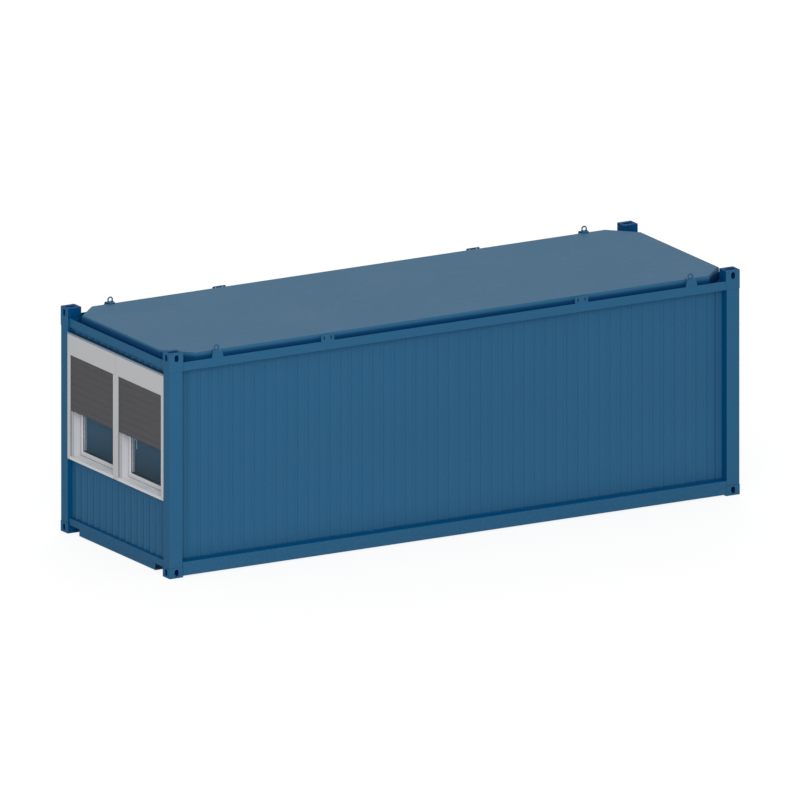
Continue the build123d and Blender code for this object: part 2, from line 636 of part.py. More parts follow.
# Shutter curtains: half lowered, crowned slats with a groove under each and a flat end slat
curtain_bottom = SHUTTER_BOX_BOTTOM - CURTAIN_DROP
slat_bottom = curtain_bottom + END_SLAT_HEIGHT
slat_count = int((SHUTTER_BOX_BOTTOM + SHUTTER_BOX_WALL - slat_bottom) // SLAT_PITCH) + 1
curtain_front_x = WINDOW_FRONT_X + SLOT_FRONT + SEAT_GAP
crown_base_x = curtain_front_x + SLAT_CROWN
with BuildPart() as one_curtain:
    with BuildSketch(Plane.XZ.offset(-curtain_width / 2)):
        with Locations((crown_base_x, curtain_bottom)):
            Rectangle(
                CURTAIN_THICKNESS - SLAT_CROWN,
                END_SLAT_HEIGHT + slat_count * SLAT_PITCH,
                align=(Align.MIN, Align.MIN),
            )
        with Locations((curtain_front_x, curtain_bottom)):
            Rectangle(SLAT_CROWN, END_SLAT_HEIGHT, align=(Align.MIN, Align.MIN))
        for slat in range(slat_count):
            slat_z = slat_bottom + slat * SLAT_PITCH
            with BuildLine():
                crown = ThreePointArc(
                    (crown_base_x, slat_z),
                    (curtain_front_x, slat_z + SLAT_PITCH / 2),
                    (crown_base_x, slat_z + SLAT_PITCH),
                )
                Line(crown @ 1, crown @ 0)
            make_face()
        for slat in range(slat_count):
            with Locations((crown_base_x, slat_bottom + slat * SLAT_PITCH)):
                Rectangle(
                    2 * SLAT_GROOVE_DEPTH,
                    SLAT_GROOVE_HEIGHT,
                    mode=Mode.SUBTRACT,
                )
    extrude(amount=curtain_width)
with BuildPart() as shutter_curtains:
    with GridLocations(0, 2 * OPENING_CENTRE_Y, 1, 2):
        add(one_curtain.part)
save(shutter_curtains, "shutter_curtains")

# Window handles: lever on the room side of each sash, on the stile next to the mullion
sash_back_x = WINDOW_FRONT_X + SASH_FRONT + SASH_DEPTH
handle_y = OPENING_CENTRE_Y - sash_width / 2 + SASH_WIDTH / 2
handle_z = WINDOW_BOTTOM + HANDLE_HEIGHT
lever_z = handle_z - HANDLE_LEVER[1] / 2 + HANDLE_LEVER[0] / 2
with BuildPart() as window_handles:
    with BuildSketch(Plane.YZ.offset(sash_back_x)):
        with Locations((0, handle_z)):
            with GridLocations(2 * handle_y, 0, 2, 1):
                RectangleRounded(HANDLE_PLATE[0], HANDLE_PLATE[1], HANDLE_PLATE_RADIUS)
    extrude(amount=HANDLE_PLATE[2])
    with BuildSketch(Plane.YZ.offset(sash_back_x)):
        with Locations((0, handle_z)):
            with GridLocations(2 * handle_y, 0, 2, 1):
                Circle(HANDLE_NECK_RADIUS)
    extrude(amount=HANDLE_NECK_LENGTH)
    with BuildSketch(Plane.YZ.offset(sash_back_x + HANDLE_NECK_LENGTH)):
        with Locations((0, lever_z)):
            with GridLocations(2 * handle_y, 0, 2, 1):
                RectangleRounded(HANDLE_LEVER[0], HANDLE_LEVER[1], HANDLE_LEVER_RADIUS)
    extrude(amount=HANDLE_LEVER[2])
save(window_handles, "window_handles")

# Door frame: steel surround in the doorway, with a stop that the leaf closes against
leaf_width = DOOR_OPENING_WIDTH - 2 * (DOOR_FRAME_FACE + DOOR_LEAF_GAP)
leaf_bottom = FLOOR_RAIL_TOP + THRESHOLD_HEIGHT + DOOR_LEAF_GAP
leaf_top = DOOR_OPENING_TOP - DOOR_FRAME_FACE - DOOR_LEAF_GAP
frame_height = DOOR_OPENING_TOP - FLOOR_RAIL_TOP
clear_height = frame_height - DOOR_FRAME_FACE - THRESHOLD_HEIGHT
stop_inset = DOOR_FRAME_INSET + DOOR_LEAF_THICKNESS + SEAT_GAP
with BuildPart() as door_frame:
    with BuildSketch(end_plane(1, POST_BACK_X)):
        with Locations((0, FLOOR_RAIL_TOP + frame_height / 2)):
            Rectangle(DOOR_OPENING_WIDTH, frame_height)
        with Locations((0, FLOOR_RAIL_TOP + THRESHOLD_HEIGHT + clear_height / 2)):
            Rectangle(
                DOOR_OPENING_WIDTH - 2 * (DOOR_FRAME_FACE + DOOR_STOP_WIDTH),
                clear_height,
                mode=Mode.SUBTRACT,
            )
    extrude(amount=POST_BACK_X - DOOR_FRAME_INSET)
    with BuildSketch(end_plane(1, stop_inset)):
        with Locations((0, FLOOR_RAIL_TOP + THRESHOLD_HEIGHT + clear_height / 2)):
            Rectangle(DOOR_OPENING_WIDTH - 2 * DOOR_FRAME_FACE, clear_height)
    extrude(amount=stop_inset - DOOR_FRAME_INSET, mode=Mode.SUBTRACT)
save(door_frame, "door_frame")

# Door leaf: plain insulated steel leaf, closed, its outer face level with the frame's
with BuildPart() as door_leaf:
    with BuildSketch(end_plane(1, DOOR_FRAME_INSET)):
        with Locations((0, (leaf_bottom + leaf_top) / 2)):
            Rectangle(leaf_width, leaf_top - leaf_bottom)
    extrude(amount=-DOOR_LEAF_THICKNESS)
save(door_leaf, "door_leaf")

# Door handles: a plate, neck and lever on each face of the leaf
door_handle_y = leaf_width / 2 - DOOR_HANDLE_EDGE
door_handle_z = FLOOR_RAIL_TOP + DOOR_HANDLE_HEIGHT
outer_face = HALF_LENGTH - DOOR_FRAME_INSET
inner_face = outer_face - DOOR_LEAF_THICKNESS
lever_y = door_handle_y - DOOR_LEVER[0] / 2 + DOOR_LEVER[1] / 2
with BuildPart() as door_handles:
    for face_x, outward in ((outer_face, 1), (inner_face, -1)):
        with BuildSketch(Plane.YZ.offset(face_x)):
            with Locations((door_handle_y, door_handle_z - DOOR_PLATE_DROP)):
                RectangleRounded(DOOR_PLATE[0], DOOR_PLATE[1], DOOR_PLATE_RADIUS)
        extrude(amount=outward * DOOR_PLATE[2])
        with BuildSketch(Plane.YZ.offset(face_x)):
            with Locations((door_handle_y, door_handle_z)):
                Circle(DOOR_NECK_RADIUS)
        extrude(amount=outward * DOOR_NECK_LENGTH)
        with BuildSketch(Plane.YZ.offset(face_x + outward * DOOR_NECK_LENGTH)):
            with Locations((lever_y, door_handle_z)):
                RectangleRounded(DOOR_LEVER[0], DOOR_LEVER[1], DOOR_LEVER_RADIUS)
        extrude(amount=outward * DOOR_LEVER[2])
save(door_handles, "door_handles")

# Door hinges: a knuckle over the joint between leaf and frame, with a flag on each
hinge_y = -DOOR_OPENING_WIDTH / 2 + DOOR_FRAME_FACE + DOOR_LEAF_GAP / 2
hinge_span = leaf_top - leaf_bottom - 2 * DOOR_HINGE_FROM_END
hinge_pitch = hinge_span / (DOOR_HINGE_COUNT - 1)
hinge_back = outer_face + SEAT_GAP
with BuildPart() as door_hinges:
    with BuildSketch(Plane.YZ.offset(hinge_back)):
        with Locations((hinge_y, (leaf_bottom + leaf_top) / 2)):
            with GridLocations(0, hinge_pitch, 1, DOOR_HINGE_COUNT):
                Rectangle(DOOR_HINGE_SPREAD, DOOR_HINGE_HEIGHT)
    extrude(amount=DOOR_HINGE_PLATE)
    for hinge in range(DOOR_HINGE_COUNT):
        hinge_z = leaf_bottom + DOOR_HINGE_FROM_END + hinge * hinge_pitch
        with BuildSketch(Plane.XY.offset(hinge_z - DOOR_HINGE_HEIGHT / 2)):
            with Locations((hinge_back + DOOR_HINGE_RADIUS, hinge_y)):
                Circle(DOOR_HINGE_RADIUS)
        extrude(amount=DOOR_HINGE_HEIGHT)
save(door_hinges, "door_hinges")


# Lifting eyes: a tapered upright on the rail, a shelf bent in over the roof and a ring on it
def lifting_eye(end, side):
    """Eye near one corner, with end and side giving the signs of its X and Y."""
    plate_y = side * (RAIL_FACE_Y - EYE_PLATE / 2)
    shelf_top = ROOF_RAIL_TOP + EYE_SHELF_HEIGHT
    with BuildPart() as eye:
        with BuildSketch(Plane.XZ.offset(-plate_y - EYE_PLATE / 2)):
            with BuildLine():
                Polyline(
                    (end * EYE_X - EYE_BASE_WIDTH / 2, ROOF_RAIL_TOP),
                    (end * EYE_X + EYE_BASE_WIDTH / 2, ROOF_RAIL_TOP),
                    (end * EYE_X + EYE_SHOULDER_WIDTH / 2, shelf_top),
                    (end * EYE_X - EYE_SHOULDER_WIDTH / 2, shelf_top),
                    close=True,
                )
            make_face()
        extrude(amount=EYE_PLATE)
        with BuildSketch(Plane.XY.offset(shelf_top - EYE_PLATE)):
            with BuildLine():
                Polyline(
                    (end * EYE_X - EYE_SHOULDER_WIDTH / 2, side * RAIL_FACE_Y),
                    (end * EYE_X + EYE_SHOULDER_WIDTH / 2, side * RAIL_FACE_Y),
                    (end * EYE_X + EYE_TIP_WIDTH / 2, side * (RAIL_FACE_Y - EYE_SHELF_DEPTH)),
                    (end * EYE_X - EYE_TIP_WIDTH / 2, side * (RAIL_FACE_Y - EYE_SHELF_DEPTH)),
                    close=True,
                )
            make_face()
        extrude(amount=EYE_PLATE)
        ring_y = side * (HALF_WIDTH - EYE_RING_INSET)
        ring_x = end * EYE_X
        ring_z = shelf_top + EYE_RING_LIFT
        with BuildSketch(Plane.XY.offset(ring_z)):
            with Locations((ring_x + EYE_RING_RADIUS, ring_y)):
                Circle(EYE_RING_BAR)
        revolve(axis=Axis((ring_x, ring_y, ring_z), (0, 1, 0)), revolution_arc=360)
    return eye


with BuildPart() as lifting_eyes:
    for corner_end in (-1, 1):
        for corner_side in (-1, 1):
            add(lifting_eye(corner_end, corner_side).part)
save(lifting_eyes, "lifting_eyes")

# Slotted brackets: upright plates on the rails' outer edges
with BuildPart() as slotted_brackets:
    for side in (-1, 1):
        plate_y = side * (RAIL_FACE_Y - BRACKET_PLATE / 2)
        with BuildSketch(Plane.XZ.offset(-plate_y - BRACKET_PLATE / 2)) as bracket_outline:
            with Locations((0, ROOF_RAIL_TOP + BRACKET_HEIGHT / 2)):
                with GridLocations(2 * BRACKET_X, 0, 2, 1):
                    Rectangle(BRACKET_WIDTH, BRACKET_HEIGHT)
            upper_corners = bracket_outline.vertices().group_by(Axis.Y)[-1]
            fillet(upper_corners, radius=BRACKET_RADIUS)
            for end in (-1, 1):
                with Locations((end * BRACKET_X, ROOF_RAIL_TOP + BRACKET_SLOT_HEIGHT)):
                    with GridLocations(BRACKET_SLOT_PITCH, 0, 2, 1):
                        SlotOverall(
                            BRACKET_SLOT_LENGTH,
                            BRACKET_SLOT_WIDTH,
                            rotation=90,
                            mode=Mode.SUBTRACT,
                        )
        extrude(amount=BRACKET_PLATE)
save(slotted_brackets, "slotted_brackets")
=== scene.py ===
"""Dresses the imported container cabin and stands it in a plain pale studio.

Lengths are in metres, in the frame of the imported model: +X runs from the window end to the
door end, +Y from the long side in view to the hidden one, and +Z up.
"""

import logging
import math
from dataclasses import dataclass
from enum import Enum
from typing import Any, Dict, Iterable, List, Optional, Sequence, Tuple, Union

import bmesh
import bpy
from mathutils import Matrix, Vector


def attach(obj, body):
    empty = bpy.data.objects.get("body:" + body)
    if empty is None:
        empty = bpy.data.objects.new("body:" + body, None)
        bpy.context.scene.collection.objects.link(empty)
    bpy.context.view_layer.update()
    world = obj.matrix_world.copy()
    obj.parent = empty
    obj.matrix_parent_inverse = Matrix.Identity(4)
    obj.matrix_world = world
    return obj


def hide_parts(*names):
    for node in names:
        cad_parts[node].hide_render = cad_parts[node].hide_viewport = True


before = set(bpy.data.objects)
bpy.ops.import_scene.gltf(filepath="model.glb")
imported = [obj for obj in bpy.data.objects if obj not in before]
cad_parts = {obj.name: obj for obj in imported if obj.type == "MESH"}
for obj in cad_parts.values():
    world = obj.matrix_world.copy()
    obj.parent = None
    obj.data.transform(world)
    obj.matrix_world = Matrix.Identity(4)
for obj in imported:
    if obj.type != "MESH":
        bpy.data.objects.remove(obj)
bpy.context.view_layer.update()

LOG = logging.getLogger("cabin")
BODY = "root"

Colour = Tuple[float, float, float, float]
Point = Tuple[float, float, float]
Outline = List[Tuple[float, float]]
Ring = List[Vector]

ALONG, ACROSS, UP = Vector((1.0, 0.0, 0.0)), Vector((0.0, 1.0, 0.0)), Vector((0.0, 0.0, 1.0))


def srgb(red: int, green: int, blue: int) -> Colour:
    """Turn a colour written as 0-255 screen values into linear light.

    Args:
        red: Red, 0 to 255.
        green: Green, 0 to 255.
        blue: Blue, 0 to 255.

    Returns:
        The same colour as linear red, green, blue and full alpha.
    """
    levels = [value / 255.0 for value in (red, green, blue)]
    linear = [v / 12.92 if v <= 0.04045 else ((v + 0.055) / 1.055) ** 2.4 for v in levels]
    return (linear[0], linear[1], linear[2], 1.0)


def toned(colour: Colour, factor: float) -> Colour:
    """Make a colour lighter or darker.

    Args:
        colour: The colour to change.
        factor: What each channel is multiplied by.

    Returns:
        The changed colour.
    """
    return (colour[0] * factor, colour[1] * factor, colour[2] * factor, colour[3])


# ---------------------------------------------------------------- node trees


class Signal:
    """An output socket that takes part in Python arithmetic."""

    def __init__(self, sheet: "NodeSheet", socket: bpy.types.NodeSocket) -> None:
        """Keep the sheet that owns the socket, and the socket."""
        self.sheet = sheet
        self.socket = socket

    def _math(self, operation: str, first: "Operand", second: "Operand") -> "Signal":
        """Add one Math node.

        Args:
            operation: The Math node's operation.
            first: Its first value.
            second: Its second value.

        Returns:
            The node's result.
        """
        return self.sheet.node("ShaderNodeMath", {"operation": operation}, {0: first, 1: second})

    def __add__(self, other: "Operand") -> "Signal":
        """Sum."""
        return self._math("ADD", self, other)

    def __radd__(self, other: "Operand") -> "Signal":
        """Sum, reflected."""
        return self._math("ADD", other, self)

    def __sub__(self, other: "Operand") -> "Signal":
        """Difference."""
        return self._math("SUBTRACT", self, other)

    def __rsub__(self, other: "Operand") -> "Signal":
        """Difference, reflected."""
        return self._math("SUBTRACT", other, self)

    def __mul__(self, other: "Operand") -> "Signal":
        """Product."""
        return self._math("MULTIPLY", self, other)

    def __rmul__(self, other: "Operand") -> "Signal":
        """Product, reflected."""
        return self._math("MULTIPLY", other, self)

    def __truediv__(self, other: "Operand") -> "Signal":
        """Quotient."""
        return self._math("DIVIDE", self, other)

    def __mod__(self, other: "Operand") -> "Signal":
        """Remainder that stays positive."""
        return self._math("FLOORED_MODULO", self, other)

    def __gt__(self, other: "Operand") -> "Signal":
        """1 where this is greater than the other, else 0."""
        return self._math("GREATER_THAN", self, other)

    def __lt__(self, other: "Operand") -> "Signal":
        """1 where this is less than the other, else 0."""
        return self._math("LESS_THAN", self, other)

    def __abs__(self) -> "Signal":
        """Absolute value."""
        return self._math("ABSOLUTE", self, 0.0)


Operand = Union[float, Signal]
SocketValue = Union[float, int, bool, str, Sequence[float], Signal, bpy.types.ID]
SocketKey = Union[int, str]


class NodeSheet:
    """A node tree with one way of adding nodes."""

    def __init__(self, tree: bpy.types.NodeTree) -> None:
        """Keep the tree."""
        self.tree = tree

    def node(
        self,
        kind: str,
        settings: Optional[Dict[str, Any]] = None,
        inputs: Optional[Dict[SocketKey, SocketValue]] = None,
        output: SocketKey = 0,
    ) -> Signal:
        """Add a node, set it up and connect it.

        Args:
            kind: The node's type.
            settings: Properties to set first.
            inputs: Values or links of its sockets, by number or name.
            output: The output to return, by number or name.

        Returns:
            The chosen output.
        """
        made = self.tree.nodes.new(kind)
        for name, value in (settings or {}).items():
            setattr(made, name, value)
        for key, value in (inputs or {}).items():
            if isinstance(value, Signal):
                self.tree.links.new(value.socket, made.inputs[key])
            else:
                made.inputs[key].default_value = value
        return Signal(self, made.outputs[output]) if len(made.outputs) else Signal(self, None)


class ShaderSheet(NodeSheet):
    """One material's tree around a Principled shader."""

    END_FACES: float = 3.61
    SIDE_FACES: float = 1.20
    TURNED_END: float = 1.6
    TURNED_SIDE: float = 0.55

    def __init__(self, name: str) -> None:
        """Start an empty material.

        Args:
            name: The material's name.
        """
        self.material = bpy.data.materials.new(name)
        self.material.use_nodes = True
        super().__init__(self.material.node_tree)
        self.tree.nodes.clear()
        self.place = self.node("ShaderNodeTexCoord", output="Object")

    def _parts(self, vector: Signal) -> List[Signal]:
        """The X, Y and Z parts of a vector."""
        outputs = self.node("ShaderNodeSeparateXYZ", None, {0: vector}).socket.node.outputs
        return [Signal(self, part) for part in outputs]

    def axes(self) -> List[Signal]:
        """The three Object coordinates as numbers."""
        return self._parts(self.place)

    def facing(self) -> List[Signal]:
        """The three parts of the surface's direction."""
        return self._parts(self.node("ShaderNodeNewGeometry", output="Normal"))

    def upward(self) -> Signal:
        """How far the surface faces up, from -1 to 1."""
        return self.facing()[2]

    def outward(self) -> Signal:
        """Tell steel that looks out of the cabin from steel on inner faces.

        Returns:
            1 on the outer faces of the ends and long sides, 0 elsewhere.
        """
        x, y, _ = self.axes()
        end, side, _ = self.facing()
        at_end = (end * x > self.TURNED_END) * (abs(x) > self.END_FACES)
        at_side = (side * y > self.TURNED_SIDE) * (abs(y) > self.SIDE_FACES)
        return at_end + at_side > 0.5

    def noise(
        self,
        scale: float,
        detail: float = 2.0,
        roughness: float = 0.5,
        stretch: Point = (1.0, 1.0, 1.0),
    ) -> Signal:
        """Noise over the surface, between 0 and 1.

        Args:
            scale: Features per metre.
            detail: Octaves.
            roughness: Weight of the finer octaves.
            stretch: Factors on the three axes.

        Returns:
            The noise value.
        """
        point = self.node("ShaderNodeMapping", None, {"Vector": self.place, "Scale": stretch})
        inputs = {"Vector": point, "Scale": scale, "Detail": detail, "Roughness": roughness}
        return self.node("ShaderNodeTexNoise", None, inputs)

    def cells(self, scale: float, output: str = "Distance") -> Signal:
        """Voronoi cells, as a distance or a colour.

        Args:
            scale: Cells per metre.
            output: Name of the output to use.

        Returns:
            The chosen output.
        """
        inputs = {"Vector": self.place, "Scale": scale}
        return self.node("ShaderNodeTexVoronoi", None, inputs, output)

    def band(self, value: Signal, low: float, high: float) -> Signal:
        """0 at low, 1 at high, smooth between; low may be the greater.

        Args:
            value: The number to test.
            low: Where the result is 0.
            high: Where the result is 1.

        Returns:
            The smooth step.
        """
        first, second = min(low, high), max(low, high)
        step = self.node(
            "ShaderNodeMapRange",
            {"interpolation_type": "SMOOTHSTEP"},
            {"Value": value, "From Min": first, "From Max": second},
        )
        return step if low <= high else 1.0 - step

    def mix(
        self, factor: Operand, first: Union[Colour, Signal], second: Union[Colour, Signal]
    ) -> Signal:
        """Mix two colours.

        Args:
            factor: 0 gives the first, 1 the second.
            first: The first colour.
            second: The second colour.

        Returns:
            The mixed colour.
        """
        inputs = {0: factor, 6: first, 7: second}
        return self.node("ShaderNodeMix", {"data_type": "RGBA"}, inputs, 2)

    def bump(self, height: Signal, relief: float, under: Optional[Signal] = None) -> Signal:
        """Bump from a height signal.

        Args:
            height: Height between 0 and 1.
            relief: What a height of 1 stands for, in metres.
            under: An earlier bump to build on.

        Returns:
            The bumped normal.
        """
        inputs: Dict[SocketKey, SocketValue] = {"Height": height, "Distance": relief}
        if under is not None:
            inputs["Normal"] = under
        return self.node("ShaderNodeBump", None, inputs)

    def shade(self, **sockets: SocketValue) -> bpy.types.Material:
        """Finish the material with a Principled shader.

        Args:
            **sockets: The shader's inputs, with spaces written as underscores.

        Returns:
            The finished material.
        """
        inputs = {name.replace("_", " "): value for name, value in sockets.items()}
        surface = self.node("ShaderNodeBsdfPrincipled", None, inputs)
        self.node("ShaderNodeOutputMaterial", None, {"Surface": surface})
        return self.material


class PatternSheet(NodeSheet):
    """A Geometry Nodes tree with named inputs for its sizes."""

    KINDS = {float: "NodeSocketFloat", int: "NodeSocketInt", tuple: "NodeSocketVector"}

    def __init__(self, name: str, sizes: Dict[str, Union[float, int, Point]]) -> None:
        """Start a tree.

        Args:
            name: The tree's name.
            sizes: Its inputs' names and values.
        """
        super().__init__(bpy.data.node_groups.new(name, "GeometryNodeTree"))
        face = self.tree.interface
        face.new_socket("Geometry", in_out="INPUT", socket_type="NodeSocketGeometry")
        face.new_socket("Geometry", in_out="OUTPUT", socket_type="NodeSocketGeometry")
        for label, value in sizes.items():
            face.new_socket(label, in_out="INPUT", socket_type=self.KINDS[type(value)])
        self.sizes = sizes
        self.inlet = self.tree.nodes.new("NodeGroupInput")

    def size(self, label: str) -> Signal:
        """The tree's input of that name."""
        return Signal(self, self.inlet.outputs[label])

    def grow(
        self,
        geometry: Signal,
        material: bpy.types.Material,
        guide: Optional[bpy.types.Mesh] = None,
    ) -> bpy.types.Mesh:
        """Close the tree, run it once and return the plain mesh.

        Args:
            geometry: What the tree makes.
            material: The material that it gets.
            guide: A mesh that the tree starts from, if it does.

        Returns:
            The finished mesh.
        """
        real = self.node("GeometryNodeRealizeInstances", None, {0: geometry})
        dressed = self.node("GeometryNodeSetMaterial", None, {0: real, "Material": material})
        self.node("NodeGroupOutput", None, {0: dressed})
        carrier_mesh = guide or bpy.data.meshes.new(self.tree.name)
        carrier = bpy.data.objects.new(self.tree.name, carrier_mesh)
        bpy.context.scene.collection.objects.link(carrier)
        modifier = carrier.modifiers.new("Pattern", "NODES")
        modifier.node_group = self.tree
        for item in self.tree.interface.items_tree:
            if item.in_out == "INPUT" and item.name in self.sizes:
                modifier[item.identifier] = self.sizes[item.name]
        graph = bpy.context.evaluated_depsgraph_get()
        mesh = bpy.data.meshes.new_from_object(carrier.evaluated_get(graph), depsgraph=graph)
        bpy.data.objects.remove(carrier)
        return mesh


# ------------------------------------------------------------------ finishes


@dataclass(frozen=True)
class Finish:
    """What every finish has: a name and a main colour."""

    name: str
    tint: Colour

    def make(self) -> bpy.types.Material:
        """Build the material."""
        raise NotImplementedError


@dataclass(frozen=True)
class SteelPaint(Finish):
    """Satin paint on rolled steel, slightly clouded, with painted shade on the faces turned inward.
    """

    roughness: float = 0.46
    specular: float = 0.025
    peel: float = 0.00011
    peel_scale: float = 260.0
    dust: Colour = srgb(150, 152, 148)
    splash_height: float = 0.42
    # Painted shade colour for the faces turned inward; their upward faces get it painted lighter.
    inner_shade: Optional[Colour] = None

    def make(self) -> bpy.types.Material:
        """Build the material.

        Returns:
            The finished material.
        """
        sheet = ShaderSheet(self.name)
        z = sheet.axes()[2]
        cloud = sheet.noise(1.1, 3.0)
        grain = sheet.noise(23.0, 5.0, 0.62)
        scuff = sheet.band(sheet.noise(7.0, 7.0, 0.72, (1.0, 1.0, 0.45)), 0.66, 0.74)
        paint = sheet.mix(cloud, toned(self.tint, 0.955), toned(self.tint, 1.045))
        paint = sheet.mix(grain * 0.5, paint, toned(self.tint, 0.97))
        paint = sheet.mix(scuff * 0.16, paint, toned(self.tint, 1.35))
        splashed = sheet.band(z, self.splash_height, 0.02) * sheet.band(grain, 0.42, 0.72)
        paint = sheet.mix(splashed * 0.05, paint, self.dust)
        # Painted shade on the faces turned inward, painted lighter where they face up.
        if self.inner_shade is not None:
            shaded = sheet.mix(grain, toned(self.inner_shade, 0.88), toned(self.inner_shade, 1.10))
            shaded = sheet.mix(sheet.upward() > 0.7, shaded, toned(self.inner_shade, 1.35))
            paint = sheet.mix(sheet.outward(), shaded, paint)
        skin = sheet.noise(self.peel_scale, 2.0)
        normal = sheet.bump(skin, self.peel, sheet.bump(sheet.noise(9.0, 2.0), 0.0012))
        return sheet.shade(
            Base_Color=paint,
            Roughness=self.roughness + 0.10 * grain,
            Specular_IOR_Level=self.specular,
            Normal=normal,
        )


@dataclass(frozen=True)
class CastPaint(Finish):
    """The same paint over rough cast steel, chipped, with painted shade inside and on inner faces.
    """

    middle: Point = (3.5785, 1.1365, 1.2365)
    half: Point = (0.089, 0.081, 0.059)
    mid_height: float = 1.2955
    chip: Colour = srgb(74, 72, 70)
    # Painted shade colours: one for the inner faces and tops, a deeper one for the hollow.
    inner_shade: Colour = srgb(3, 66, 112)
    hollow_shade: Colour = srgb(2, 62, 120)
    skin: float = 0.004
    specular: float = 0.02

    def within(self, sheet: ShaderSheet) -> Signal:
        """Tell the hollow of a casting from its outside.

        Args:
            sheet: The material's tree.

        Returns:
            1 deeper than the skin of a casting, 0 on its outside.
        """
        x, y, z = sheet.axes()
        reach = [half - self.skin for half in self.half]
        along = abs(abs(x) - self.middle[0]) < reach[0]
        across = abs(abs(y) - self.middle[1]) < reach[1]
        return along * across * (abs(abs(z - self.mid_height) - self.middle[2]) < reach[2])

    def make(self) -> bpy.types.Material:
        """Build the material.

        Returns:
            The finished material.
        """
        sheet = ShaderSheet(self.name)
        sand = sheet.noise(170.0, 5.0, 0.65)
        lumps = sheet.noise(31.0, 3.0)
        chipped = sheet.band(sheet.noise(62.0, 6.0, 0.7), 0.705, 0.735)
        paint = sheet.mix(lumps, toned(self.tint, 0.95), toned(self.tint, 1.05))
        paint = sheet.mix(chipped * 0.40, paint, self.chip)
        # Painted shade on the inner faces and tops, and deeper in each casting's hollow.
        shaded = sheet.mix(lumps, toned(self.inner_shade, 0.9), toned(self.inner_shade, 1.1))
        paint = sheet.mix(sheet.outward(), shaded, paint)
        paint = sheet.mix(self.within(sheet), paint, self.hollow_shade)
        normal = sheet.bump(sand, 0.0006, sheet.bump(lumps, 0.0011))
        return sheet.shade(
            Base_Color=paint,
            Roughness=0.50 + 0.16 * sand,
            Specular_IOR_Level=self.specular,
            Normal=normal,
        )


@dataclass(frozen=True)
class WallSheet(Finish):
    """Coil coated wall sheet, a duller coat on the room's side; painted shade at the foot and
    beside the end ribs, painted light low down.
    """

    lining: Colour = srgb(48, 92, 122)
    board: float = 1.20
    joint: float = 0.0016
    rib_pitch: float = 0.1385
    # Painted shadow beside each end rib, as a share of the rib pitch.
    rib_shadow: Tuple[float, float] = (0.17, 0.37)
    end_face: float = 3.57
    room_half_length: float = 3.5000
    room_half_width: float = 1.0400
    foot: float = 0.174
    # Painted shade colour at the foot of the wall.
    shade_colour: Colour = srgb(2, 60, 104)
    specular: float = 0.05

    def make(self) -> bpy.types.Material:
        """Build the material.

        Returns:
            The finished material.
        """
        sheet = ShaderSheet(self.name)
        x, y, z = sheet.axes()
        streak = sheet.noise(5.0, 4.0, 0.6, (1.0, 1.0, 0.07))
        cloud = sheet.noise(0.9, 2.0)
        grain = sheet.noise(420.0, 2.0)
        sheen = sheet.mix(cloud, toned(self.tint, 0.965), toned(self.tint, 1.035))
        sheen = sheet.mix(sheet.band(streak, 0.35, 0.75) * 0.5, sheen, toned(self.tint, 0.955))
        # Painted light: the wall is lightened toward its bottom.
        sheen = sheet.mix(sheet.band(z, 1.3, 0.25) * 0.7, sheen, toned(self.tint, 1.09))
        # Painted shade along the foot of the wall.
        shaded = sheet.band(z - 0.02 * streak, self.foot + 0.012, self.foot - 0.006)
        sheen = sheet.mix(shaded * 0.6, sheen, self.shade_colour)
        # Painted shadow on one side of each rib of the end walls.
        step = y / self.rib_pitch % 1.0
        rib_shadow = (step > self.rib_shadow[0]) * (step < self.rib_shadow[1]) * (abs(x) > self.end_face)
        sheen = sheet.mix(rib_shadow * (0.7 + 0.3 * streak), sheen, toned(self.tint, 0.74))
        inside = (abs(x) < self.room_half_length) * (abs(y) < self.room_half_width)
        stipple = sheet.noise(60.0, 4.0)
        lined = sheet.mix(stipple, toned(self.lining, 0.96), self.lining)
        joint = abs(x % self.board - self.board / 2) < self.joint
        lined = sheet.mix(joint * 0.5, lined, toned(self.lining, 0.45))
        return sheet.shade(
            Base_Color=sheet.mix(inside, sheen, lined),
            Roughness=0.50 + 0.08 * streak + 0.10 * inside,
            Specular_IOR_Level=self.specular,
            Normal=sheet.bump(grain, 0.00006, sheet.bump(sheet.noise(5.0, 2.0), 0.0016)),
        )


